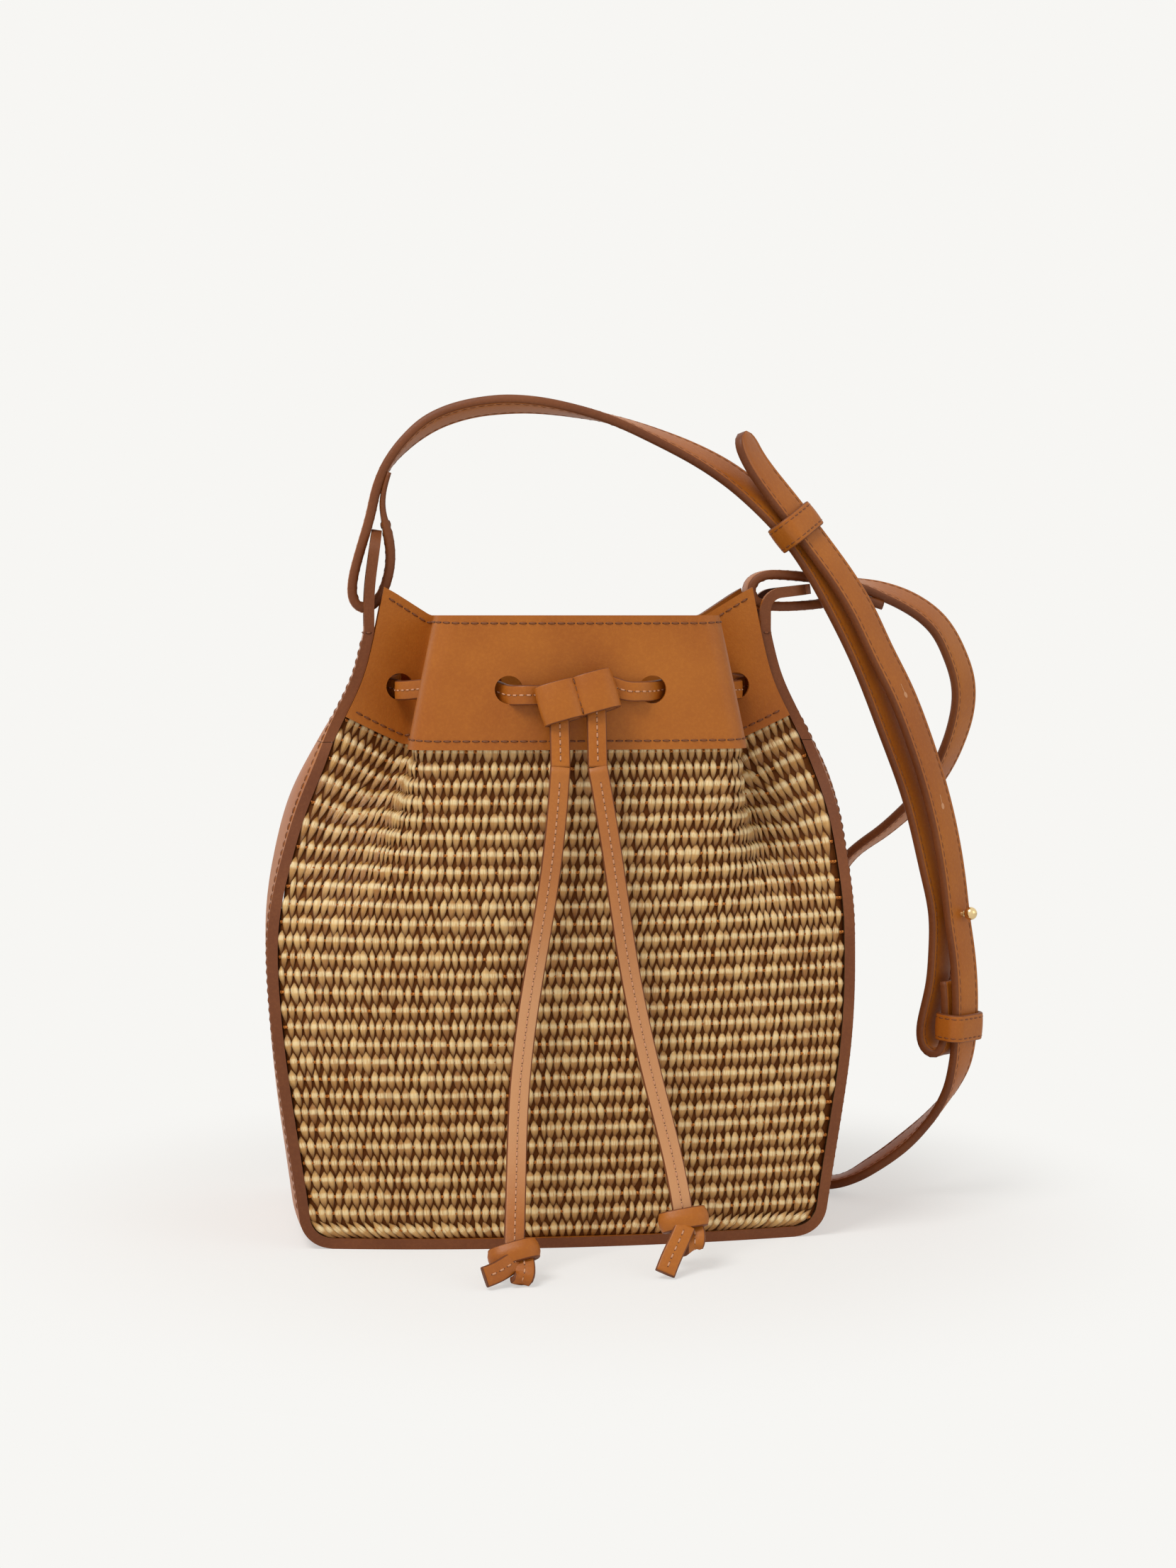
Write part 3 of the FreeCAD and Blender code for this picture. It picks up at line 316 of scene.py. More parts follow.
def unit(vectors):
    """The same directions, each one long."""
    return vectors / np.linalg.norm(vectors, axis=-1, keepdims=True)


def run_along(line):
    """How far along a line of points each of them is."""
    return np.concatenate([[0.0], np.cumsum(np.linalg.norm(np.diff(line, axis=0), axis=1))])


def spline_weights(count, places):
    """How much each of count control points weighs at places, for an even cubic curve."""
    knots = np.concatenate([np.zeros(3), np.arange(count - 2), np.full(3, count - 3.0)])
    places = np.clip(np.asarray(places, float), 0.0, count - 3 - 1e-9)[:, None]
    weights = ((places >= knots[:-1]) & (places < knots[1:])).astype(float)
    for degree in (1, 2, 3):
        low = knots[: -degree - 1][None]
        high = knots[degree + 1:][None]
        rise = knots[degree:-1][None] - low
        fall = high - knots[1:-degree][None]
        up = np.where(rise > 0, (places - low) / np.where(rise > 0, rise, 1), 0)
        down = np.where(fall > 0, (high - places) / np.where(fall > 0, fall, 1), 0)
        weights = up * weights[:, :-1] + down * weights[:, 1:]
    return weights


NUDGE = 0.02


class Skin:
    """A smooth sheet over rows of points: places and normals at any row and column."""

    def __init__(self, heights):
        self.heights = heights
        self.grid = front_rows(heights)
        self.rows, self.columns = self.grid.shape[:2]

    def at(self, row_places, column_places):
        weights = spline_weights(self.rows, row_places)
        across = spline_weights(self.columns, column_places)
        return np.einsum("ri,ijk,cj->rck", weights, self.grid, across)

    def row_for(self, height):
        """The row place whose middle is at a height."""
        places = np.linspace(0, self.rows - 3, 400)
        middles = spline_weights(self.rows, places) @ self.grid[:, self.columns // 2, 2]
        return float(np.interp(height, middles, places))

    def normals(self, row_places, column_places):
        low = np.clip(column_places - NUDGE, 0, None)
        high = np.clip(column_places + NUDGE, None, self.columns - 3)
        across = self.at(row_places, high) - self.at(row_places, low)
        low = np.clip(row_places - NUDGE, 0, None)
        high = np.clip(row_places + NUDGE, None, self.rows - 3)
        along = self.at(high, column_places) - self.at(low, column_places)
        return unit(np.cross(across, along))


def even_rows(low, high, step):
    """Heights about a step apart, with both ends."""
    count = max(2, round((high - low) / step))
    return [mix(low, high, k / count) for k in range(count + 1)]


def new_piece(name, points, faces, material, body, flip=False, smooth=True):
    """A mesh piece from points in millimetres; flip puts it on the back of the bag."""
    points = np.asarray(points, float).reshape(-1, 3) * MM
    if flip:
        points = points * np.array([1.0, -1.0, 1.0])
        faces = [tuple(reversed(face)) for face in faces]
    mesh = bpy.data.meshes.new(name)
    mesh.from_pydata(points.tolist(), [], faces)
    mesh.materials.append(material)
    mesh.polygons.foreach_set("use_smooth", [smooth] * len(mesh.polygons))
    mesh.update()
    piece = bpy.data.objects.new(name, mesh)
    bpy.context.collection.objects.link(piece)
    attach(piece, body)
    return piece


def add_values(piece, name, values):
    """A number for each point, which a material reads by name."""
    layer = piece.data.attributes.new(name, "FLOAT", "POINT")
    layer.data.foreach_set("value", np.asarray(values, np.float32))


def grid_faces(rows, columns, first=0):
    """Faces over a grid of points, whose first point has this number."""
    faces = []
    for r in range(rows - 1):
        for c in range(columns - 1):
            a = first + r * columns + c
            faces.append((a, a + 1, a + columns + 1, a + columns))
    return faces


inner_corner = BASE_CORNER - STRIP
corner_turns = [math.radians(angle) for angle in (0, 20, 40, 60, 80)]
corner_heights = [BASE_CORNER - inner_corner * math.cos(turn) for turn in corner_turns] + [15.0]
body_skin = Skin(corner_heights + even_rows(21.0, 185.0, 8.0))


# Woven panels: flat raffia strands that float over twisted cords in pointed, crumpled loops, with
# gaps between, whose shade is painted dark on the sheet behind them. Each row of floats lies half a
# float aside from the row below it.

FLOAT_PITCH = 2.95
ROW_PITCH = 6.15
FLOAT_REACH = 1.42
FLOAT_WIDTH = 2.65
FLOAT_SLANT = 1.6
CREST = 0.66
ALONG_POINTS = 9
ACROSS_POINTS = 5
CORD_RADIUS = 0.62
CORD_SIDES = 6
CORD_STEP = 1.3
CORD_TWIST = 1.1
GROUND_OUTER = 0.75
GROUND_INNER = 2.3
GROUND_ROWS = 90
GROUND_COLUMNS = 130


def stored(start, name):
    """The number that each point of a piece carries under this name."""
    return start.make("ShaderNodeAttribute", {"attribute_name": name}, out=2)


def raffia_build(start):
    """Fair shiny strands with a painted highlight across each crest, and painted shade where they dive
    under a cord and along their sides.
    """
    tone, across, along = (stored(start, name) for name in ("tone", "across", "along"))
    spot = {"X": across * 3.2, "Y": along * 0.5, "Z": tone * 40.0}
    lines = start.make("ShaderNodeCombineXYZ", None, spot)
    fibres = start.make("ShaderNodeTexNoise", None, {"Vector": lines, "Scale": 2.4, "Detail": 3.0})
    glint = (along - 0.35).maths("ABSOLUTE")
    # Painted shade: the strands darken towards both tips, where they dive under a cord.
    ends = (along - 0.33).maths("ABSOLUTE").step(0.05, 0.62)
    # Painted shade along the strands' sides, where they meet the gaps.
    sides = across.maths("ABSOLUTE").step(0.45, 1.05)
    stops = [(0.25, colour(172, 114, 48)), (0.5, colour(204, 150, 78)), (0.8, colour(238, 192, 120))]
    fair = start.make("ShaderNodeValToRGB", {"stops": stops}, {0: tone * 0.6 + fibres * 0.5})
    shaded = (ends * 0.9).blend(fair, colour(132, 76, 26))
    # Painted highlight: a bright band across each strand's crest.
    crest = (1.0 - glint.step(0.03, 0.15)) * fibres.step(0.3, 0.5) * 0.95
    bright = crest.blend(shaded, colour(252, 224, 168))
    painted_side_shade = (sides * 0.6).blend(bright, colour(104, 60, 18))
    bump = start.make("ShaderNodeBump", None, {"Strength": 0.8, "Distance": 0.0005, "Height": fibres})
    return {"Base Color": painted_side_shade, "Roughness": fibres * 0.2 + 0.22, "Normal": bump}


raffia = new_material("raffia", raffia_build, Specular_IOR_Level=0.7)


def cord_build(start):
    """Strands twisted round each other, with painted shade darkening the grooves between them."""
    strands = (stored(start, "turn") * math.tau).maths("SINE") * 0.5 + 0.5
    bump = start.make("ShaderNodeBump", None, {"Strength": 0.8, "Distance": 0.0004, "Height": strands})
    return {
        # Painted shade: the colour darkens in the grooves between the strands.
        "Base Color": strands.blend(colour(150, 78, 22), colour(214, 134, 58)),
        "Roughness": strands * 0.1 + 0.6,
        "Normal": bump,
    }


weft_cord = new_material("weft_cord", cord_build, Specular_IOR_Level=0.3)


def gap_shade_build(start):
    """Painted shade: the dark brown that the shaded gaps of the weave show, mottled at random."""
    place = start.make("ShaderNodeTexCoord", out=3)
    noise = start.make("ShaderNodeTexNoise", None, {"Vector": place, "Scale": 500.0, "Detail": 3.0})
    browns = noise.blend(colour(74, 38, 8), colour(112, 62, 18))
    return {"Base Color": browns, "Roughness": noise * 0.2 + 0.7}


# The ground's dark brown is painted shade for the weave's gaps.
painted_gap_shade = new_material("weave_ground", gap_shade_build, Specular_IOR_Level=0.2)

row_heights = np.arange(6.2, 181.0, ROW_PITCH)
fine_columns = np.linspace(0, body_skin.columns - 3, 481)


def weave_ground(side, flip):
    """The closed sheet that shows in the gaps, dark with painted shade, with a face outside, one inside
    and a rim.
    """
    rows = np.linspace(0, body_skin.rows - 3, GROUND_ROWS)
    columns = np.linspace(0, body_skin.columns - 3, GROUND_COLUMNS)
    skin, normals = body_skin.at(rows, columns), body_skin.normals(rows, columns)
    sheets = [skin - normals * depth for depth in (GROUND_OUTER, GROUND_INNER)]
    points = np.concatenate([sheet.reshape(-1, 3) for sheet in sheets])
    size = GROUND_ROWS * GROUND_COLUMNS
    faces = grid_faces(GROUND_ROWS, GROUND_COLUMNS)
    faces += [tuple(reversed(face)) for face in grid_faces(GROUND_ROWS, GROUND_COLUMNS, size)]
    border = list(range(GROUND_COLUMNS))
    border += [r * GROUND_COLUMNS + GROUND_COLUMNS - 1 for r in range(1, GROUND_ROWS)]
    border += [size - 1 - k for k in range(1, GROUND_COLUMNS)]
    border += [r * GROUND_COLUMNS for r in range(GROUND_ROWS - 2, 0, -1)]
    for a, b in zip(border, border[1:] + border[:1]):
        faces.append((b, a, a + size, b + size))
    ground = new_piece(side + "_weave_ground", points, faces, painted_gap_shade, "bag", flip)
    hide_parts(side + "_woven_panel")


def weave_rows(side, flip):
    """The twisted cords of one woven panel and the raffia floats over them."""
    cord_points, cord_faces, turns = [], [], []
    float_points, float_faces, tones, acrosses, alongs = [], [], [], [], []
    shares = np.linspace(0, 1, ALONG_POINTS)
    bend = np.where(shares < CREST, shares / CREST * 0.5, 0.5 + (shares - CREST) / (1 - CREST) * 0.5)
    taper = np.clip(np.sin(np.pi * bend), 0.02, 1) ** 1.2
    rise = np.clip(np.sin(np.pi * bend), 0, 1) ** 1.3 * 1.75 - 0.95
    for number, height in enumerate(row_heights):
        place, above, below, crest = (
            body_skin.row_for(height + up) for up in (0.0, ROW_PITCH / 2, -ROW_PITCH / 2, 0.85)
        )
        normal = body_skin.normals(np.array([place]), fine_columns)[0]
        lines = body_skin.at([place, above, below, crest], fine_columns)
        run = run_along(lines[0])

        def along_row(values, lengths):
            return np.stack([np.interp(lengths, run, values[:, k]) for k in range(3)], axis=1)

        first = len(cord_points)
        count = int(run[-1] / CORD_STEP)
        lengths = np.linspace(0.3, run[-1] - 0.3, count)
        for spot, out, length in zip(along_row(lines[3], lengths), along_row(normal, lengths), lengths):
            for k in range(CORD_SIDES):
                angle = math.tau * k / CORD_SIDES
                lift = out * (CORD_RADIUS * math.cos(angle) - 0.3)
                cord_points.append(spot + lift + np.array([0, 0, CORD_RADIUS * math.sin(angle)]))
                turns.append(length / CORD_TWIST + k / CORD_SIDES)
        for c in range(count - 1):
            for k in range(CORD_SIDES):
                a = first + c * CORD_SIDES + k
                b = first + c * CORD_SIDES + (k + 1) % CORD_SIDES
                cord_faces.append((a, b, b + CORD_SIDES, a + CORD_SIDES))
        offset = FLOAT_PITCH * (0.25 if number % 2 else 0.75)
        middles = np.arange(offset + 0.4, run[-1] - 0.9, FLOAT_PITCH)
        middles = middles + random.normal(0, 0.17, len(middles))
        tilts = random.normal(0, 0.3, len(middles))
        wide = FLOAT_WIDTH * (1 + random.normal(0, 0.13, len(middles)))
        tone = np.clip(random.normal(0.5, 0.2, len(middles)), 0, 1)
        lift = 1 + random.normal(0, 0.1, len(middles))
        centres = along_row(lines[0], middles)
        outs = along_row(normal, middles)
        ups = along_row(lines[1], middles) - along_row(lines[2], middles)
        ups = ups * (FLOAT_REACH * (1 + random.normal(0, 0.05, len(middles))))[:, None]
        rights = unit(np.cross(ups, outs))
        for m in range(len(middles)):
            first = len(float_points)
            crumple = random.normal(0, 0.1, (ALONG_POINTS, ACROSS_POINTS))
            for i, share in enumerate(shares):
                half = wide[m] / 2 * taper[i]
                for j, s in enumerate(np.linspace(-1, 1, ACROSS_POINTS)):
                    high = rise[i] * lift[m] - 0.6 * s * s * taper[i] + crumple[i, j]
                    shift = s * half + tilts[m] * (share - 0.5) * FLOAT_SLANT
                    spot = centres[m] + rights[m] * shift + ups[m] * (share - 0.5) + outs[m] * high
                    float_points.append(spot)
                    tones.append(tone[m])
                    acrosses.append(s)
                    alongs.append(1 - share)
            float_faces += grid_faces(ALONG_POINTS, ACROSS_POINTS, first)
    cords = new_piece(side + "_weave_cords", cord_points, cord_faces, weft_cord, "bag", flip)
    add_values(cords, "turn", turns)
    floats = new_piece(side + "_weave_floats", float_points, float_faces, raffia, "bag", flip)
    for name, values in (("tone", tones), ("across", acrosses), ("along", alongs)):
        add_values(floats, name, values)


for side, flip in FACES:
    weave_ground(side, flip)
    weave_rows(side, flip)


# Linings: a plain cotton drill glued behind the weave and up under the collar.
# The board on the base is covered in the same cloth.


def drill_build(start):
    """Cloth with fine level ribs."""
    place = start.make("ShaderNodeTexCoord", out=3)
    ribs = {"Vector": place, "Scale": 700.0, "Distortion": 0.6}
    lines = start.make("ShaderNodeTexWave", {"bands_direction": "Z"}, ribs)
    bump = start.make("ShaderNodeBump", None, {"Strength": 0.3, "Distance": 0.0003, "Height": lines})
    cloth = lines.blend(colour(150, 128, 98), colour(172, 150, 118))
    return {"Base Color": cloth, "Roughness": lines * 0.1 + 0.8, "Normal": bump}


drill = new_material("cotton_drill", drill_build, Specular_IOR_Level=0.2)

LINING_DEPTH = 3.0
LINING_THICKNESS = 0.5
LINING_SIDE_GAP = 1.0
lining_rows = np.linspace(body_skin.row_for(12.0), body_skin.row_for(177.5), 60)
lining_columns = np.linspace(0, body_skin.columns - 3, 110)
for side, flip in FACES:
    sheet = body_skin.at(lining_rows, lining_columns)
    sheet -= body_skin.normals(lining_rows, lining_columns) * LINING_DEPTH
    sheet[:, 0, 0] += LINING_SIDE_GAP
    sheet[:, -1, 0] -= LINING_SIDE_GAP
    faces = grid_faces(len(lining_rows), len(lining_columns))
    faces = [tuple(reversed(face)) for face in faces]
    lining = new_piece(side + "_drill_lining", sheet, faces, drill, "bag", flip)
    thick = lining.modifiers.new("thickness", "SOLIDIFY")
    thick.thickness = LINING_THICKNESS * MM
    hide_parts(side + "_lining")

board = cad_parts["base_board"]
soften(board, [drill], lambda normal, centre: 0, bevel=0.4)


# Base, side strips, tabs and collars: thick leather, cut, edge-painted and sewn round the body.
# Their flat cut edges carry the brown paint; the insides of the strips are the rough side.


def strip_choice(normal, centre):
    """Paint on cut edges, the rough side inside the bag, smooth hide elsewhere."""
    if abs(normal.y) > 0.6 or (abs(normal.x) < 0.8 and centre.z > 0.17):
        return 1
    inward = normal.x * centre.x < 0
    return 2 if inward and centre.z < 0.2 else 0


def base_choice(normal, centre):
    """Paint on the front and back edges of the base."""
    return 1 if abs(normal.y) > 0.7 else 0


def collar_choice(normal, centre):
    """Paint on the collar's top and bottom edges."""
    return 1 if abs(normal.z) > 0.8 else 0


def tab_choice(normal, centre):
    """Paint on the tab's sides and its end."""
    return 1 if abs(normal.y) > 0.6 or centre.x > TAB_END else 0


TAB_END = 0.108
soften(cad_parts["base_panel"], [leather, edge_paint], base_choice, bevel=0.8)
for name in ("left_gusset", "right_gusset", "left_tab"):
    soften(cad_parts[name], [leather, edge_paint, flesh_side], strip_choice, bevel=0.7)
for name in ("front_collar", "back_collar"):
    soften(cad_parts[name], [leather, edge_paint], collar_choice, bevel=0.55)

# The right tab bends when the strap swings; here it is a plain copy of the solid's mesh, and the solid is
# hidden.
tab_copy = bpy.data.objects.new("right_tab_leather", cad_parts["right_tab"].data.copy())
bpy.context.collection.objects.link(tab_copy)
soften(tab_copy, [leather, edge_paint], tab_choice, bevel=0.7)
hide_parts("right_tab")
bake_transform(tab_copy)


# Stitches: waxed brown thread, one short raised stitch after another, sunk at both ends.
# Each seam is one piece; its line is given as points with the surface's normals.


def thread_look(dark, fair):
    """Thread that is fair on its crown, a painted highlight, and dark where it goes into the leather,
    painted shade.
    """

    def build(start):
        # Painted highlight on each stitch's crown, and painted shade towards its ends where it sinks into
        # the leather.
        crown = (stored(start, "along") * math.pi).maths("SINE").step(0.2, 0.8)
        return {"Base Color": crown.blend(colour(*dark), colour(*fair)), "Roughness": crown * 0.1 + 0.45}

    return build


# Each pair gives the painted shade at a stitch's ends, then the colour of its highlighted crown.
BROWN = ((66, 34, 16), (122, 72, 40))
FAIR = ((84, 44, 22), (206, 150, 112))
brown_thread = new_material("brown_thread", thread_look(*BROWN), Specular_IOR_Level=0.35)
fair_thread = new_material("fair_thread", thread_look(*FAIR), Specular_IOR_Level=0.35)
STITCH_RINGS = 5
STITCH_SIDES = 5


def sew(name, runs, body, pitch=3.4, length=2.8, radius=0.42, flip=False, thread=brown_thread):
    """Stitches along runs of (points, normals) in millimetres."""
    points, faces, alongs = [], [], []
    for line, normals in runs:
        line = np.asarray(line, float)
        normals = np.asarray(normals, float)
        run = run_along(line)
        count = max(1, int(run[-1] / pitch))
        centres = (np.arange(count) + 0.5) * run[-1] / count
        for centre in centres:
            ends = [centre - length / 2, centre + length / 2]
            a, b = (np.array([np.interp(e, run, line[:, k]) for k in range(3)]) for e in ends)
            out = unit(np.array([np.interp(centre, run, normals[:, k]) for k in range(3)]))
            cross = np.cross(unit(b - a), out)
            first = len(points)
            for ring in range(STITCH_RINGS):
                share = ring / (STITCH_RINGS - 1)
                thin = 0.55 + 0.45 * math.sin(math.pi * share)
                lift = radius * (0.5 * math.sin(math.pi * share) - 0.45)
                middle = a + (b - a) * share + out * lift
                alongs += [share] * STITCH_SIDES
                for k in range(STITCH_SIDES):
                    angle = math.tau * k / STITCH_SIDES
                    around = out * math.cos(angle) + cross * math.sin(angle)
                    points.append(middle + radius * thin * around)
            for ring in range(STITCH_RINGS - 1):
                for k in range(STITCH_SIDES):
                    p = first + ring * STITCH_SIDES + k
                    q = first + ring * STITCH_SIDES + (k + 1) % STITCH_SIDES
                    faces.append((q, p, p + STITCH_SIDES, q + STITCH_SIDES))
    piece = new_piece(name, points, faces, thread, body, flip)
    add_values(piece, "along", alongs)
    return piece


COLLAR_OUT = 2.75
COLLAR_SEAM_INSET = 3.0
collar_skin = Skin(even_rows(COLLAR_BOTTOM, COLLAR_TOP, 6.0))
seam_columns = np.linspace(0.2, collar_skin.columns - 3.2, 300)
for side, flip in FACES:
    runs = []
    for height in (COLLAR_BOTTOM + COLLAR_SEAM_INSET, COLLAR_TOP - COLLAR_SEAM_INSET):
        place = np.array([collar_skin.row_for(height)])
        normals = collar_skin.normals(place, seam_columns)[0]
        runs.append((collar_skin.at(place, seam_columns)[0] + normals * COLLAR_OUT, normals))
    sew(side + "_collar_stitches", runs, "bag", flip=flip)


def strip_line(side, inset, heights):
    """A line up a side strip's outer face, inset from its edge, with its normals."""
    line, normals = [], []
    for z in heights:
        x = glide(z, LEANS) + side * half_width(z)
        ahead = glide(z + 1, LEANS) + side * half_width(z + 1)
        half = glide(z, STRIP_WIDTHS) / 2
        y = half - inset
        bulge = glide(z, BULGES) * (1 - (y / half) ** 2)
        normal = np.array([1.0, 0.0, side * (x - ahead)])
        normal = normal / np.linalg.norm(normal) * np.array([side, 0, 1])
        line.append(np.array([x, -y, z]) + normal * bulge)
        normals.append(normal)
    return line, normals


STRIP_SEAM_INSET = 2.6
for side, name in SIDES:
    front_line = strip_line(side, STRIP_SEAM_INSET, np.linspace(14.0, 219.0, 120))
    sew(name + "_strip_stitches", [front_line], "bag")
    sew(name + "_strip_stitches_back", [front_line], "bag", flip=True)


# Bar tacks: a few stitches of the same thread right across each tab at its root, where it leaves
# the bag. They go round the tab's front and back edges and hold it on the side strip.

TACK_HEIGHT = 221.5
for side, name in SIDES:
    x = glide(TACK_HEIGHT, LEANS) + side * (half_width(TACK_HEIGHT) + 0.1)
    half = glide(TACK_HEIGHT, STRIP_WIDTHS) / 2
    face = [(x, y, TACK_HEIGHT) for y in np.linspace(-half + 0.6, half - 0.6, 12)]
    edge = [(x - side * d, -half - 0.1, TACK_HEIGHT) for d in np.linspace(0.2, 3.5, 6)]
    rear = [(px, -py, pz) for px, py, pz in edge]
    lines = ((face, (side, 0, 0)), (edge, (0, -1, 0)), (rear, (0, 1, 0)))
    runs = [(line, [out] * len(line)) for line, out in lines]
    sew(name + "_bar_tack", runs, "bag", pitch=2.6, length=2.2)


# Flat bands: the lace and the strap. Each is cut leather folded and sewn, a little crowned, with
# rounded painted edges. A band follows the line of its solid.


def spline_through(points):
    """A smooth line through points: a function of the run along their chords, and the knots."""
    points = np.asarray(points, float)
    knots = run_along(points)
    count = len(points)
    spans = np.diff(knots)
    table = np.zeros((count, count))
    right = np.zeros((count, 3))
    table[0, 0] = table[-1, -1] = 1.0
    for i in range(1, count - 1):
        table[i, i - 1] = spans[i - 1]
        table[i, i] = 2 * (spans[i - 1] + spans[i])
        table[i, i + 1] = spans[i]
        slope_before = (points[i] - points[i - 1]) / spans[i - 1]
        slope_after = (points[i + 1] - points[i]) / spans[i]
        right[i] = 6 * (slope_after - slope_before)
    bends = np.linalg.solve(table, right)

    def line(places):
        places = np.asarray(places, float)
        i = np.clip(np.searchsorted(knots, places, side="right") - 1, 0, count - 2)
        h = spans[i][:, None]
        a = (knots[i + 1] - places)[:, None] / h
        b = 1 - a
        return (
            a * points[i] + b * points[i + 1]
            + ((a**3 - a) * bends[i] + (b**3 - b) * bends[i + 1]) * h * h / 6
        )

    return line, knots


def square_to(vectors, tangents):
    """Unit directions nearest to these vectors that stand square to the tangents."""
    return unit(vectors - tangents * np.sum(vectors * tangents, axis=-1, keepdims=True))


def band_frames(stations, step):
    """Points, tangents and width directions at even steps along a band of (x, y, z, width hint)."""
    line, knots = spline_through([s[:3] for s in stations])
    fine = np.linspace(0, knots[-1], len(stations) * 40)
    run = run_along(line(fine))
    count = max(8, round(run[-1] / step))
    places = np.interp(np.linspace(0, run[-1], count + 1), run, fine)
    points = line(places)
    ahead = line(np.clip(places + 0.05, None, knots[-1]))
    behind = line(np.clip(places - 0.05, 0, None))
    tangents = unit(ahead - behind)
    hints = np.array([
        [glide(p, [(k, s[3][c]) for k, s in zip(knots, stations)]) for c in range(3)] for p in places
    ])
    return points, tangents, square_to(hints, tangents)


def band_outline(width, thickness, crown, groove_inset=0.0):
    """The section of a band: (across, out, painted) points anticlockwise, with a groove for a seam."""
    half, face = width / 2, thickness / 2
    top = [
        (half, 0.28 * face, 1), (half - 0.12 * face, 0.7 * face, 1), (half - 0.4 * face, 0.97 * face, 1),
        (half - 0.75 * face, 1.02 * face, 0),
    ]
    if groove_inset:
        top += [(half - groove_inset, 0.9 * face, 0), (half - groove_inset - 0.7, 1.0 * face, 0)]
    top += [(half * 0.4, face + crown * 0.8, 0), (0.0, face + crown, 0)]
    mirrored = [(-x, y, p) for x, y, p in reversed(top[:-1])]
    upper = top + mirrored
    return upper + [(-x, -y, p) for x, y, p in upper]


def band_piece(name, frames, outline, body, taper=None, thin=None, hide=leather, caps=1):
    """A closed band along the frames; taper scales its width and thin its thickness."""
    points, tangents, across = frames
    normals = np.cross(tangents, across)
    sides = len(outline)
    verts = []
    for i in range(len(points)):
        scale = 1.0 if taper is None else taper[i]
        deep = 1.0 if thin is None else thin[i]
        for x, y, _ in outline:
            verts.append(points[i] + across[i] * x * scale + normals[i] * y * deep)
    faces, painted = [], []
    for i in range(len(points) - 1):
        for k in range(sides):
            a = i * sides + k
            b = i * sides + (k + 1) % sides
            faces.append((a, b, b + sides, a + sides))
            painted.append(1 if outline[k][2] and outline[(k + 1) % sides][2] else 0)
    for first, order in ((0, 1), ((len(points) - 1) * sides, -1)):
        ring = [first + k for k in range(sides)]
        faces.append(tuple(ring[::-order]))
        painted.append(caps)
    piece = new_piece(name, verts, faces, hide, body)
    piece.data.materials.append(edge_paint)
    piece.data.polygons.foreach_set("material_index", painted)
    return piece


def band_seam(frames, place, out, skip=2):
    """A stitch line on a band at a place across it, on the out side (1 or -1)."""
    points, tangents, across = frames
    normals = np.cross(tangents, across) * (1 if out > 0 else -1)
    line = points + across * place + normals * abs(out)
    return line[skip:len(line) - skip], normals[skip:len(line) - skip]


# Drawstring: a flat folded lace with one row of stitches down its middle, round the collar through
# its twelve holes. Both ends go over the slider's back wall and down through its loops.

LACE_WIDTH = 7.2
LACE = 2.2
HOLE_HEIGHT = 201.5
MIDDLE = glide(HOLE_HEIGHT, LEANS)
RUN_DROP = 0.3
TAIL_TILT = math.radians(12)
LEG_DOWN = np.array([0.0, -math.sin(TAIL_TILT), -math.cos(TAIL_TILT)])
LEG_FORWARD = np.array([0.0, -math.cos(TAIL_TILT), math.sin(TAIL_TILT)])
SLIDER = np.array([3.0, -62.2, 198.6])
LEG_HALF = 6.6
LEG_SPACING = 4.6
STUB_LENGTH = 23.0
SLIDER_ROLL = math.radians(15)
LACE_FACE = 1.28
LACE_STITCHES = {"pitch": 2.7, "length": 2.25, "radius": 0.33, "thread": fair_thread}
lace_outline = band_outline(LACE_WIDTH, LACE, crown=0.12)


def lace_build(start):
    """The lace's leather, paler by the share that its attribute gives."""
    hide = hide_look(*TAN)(start)
    rubbed = stored(start, "rubbed") * 0.85
    hide["Base Color"] = rubbed.blend(hide["Base Color"], colour(206, 152, 108))
    return hide


lace_leather = new_material("lace_leather", lace_build, Specular_IOR_Level=0.32)


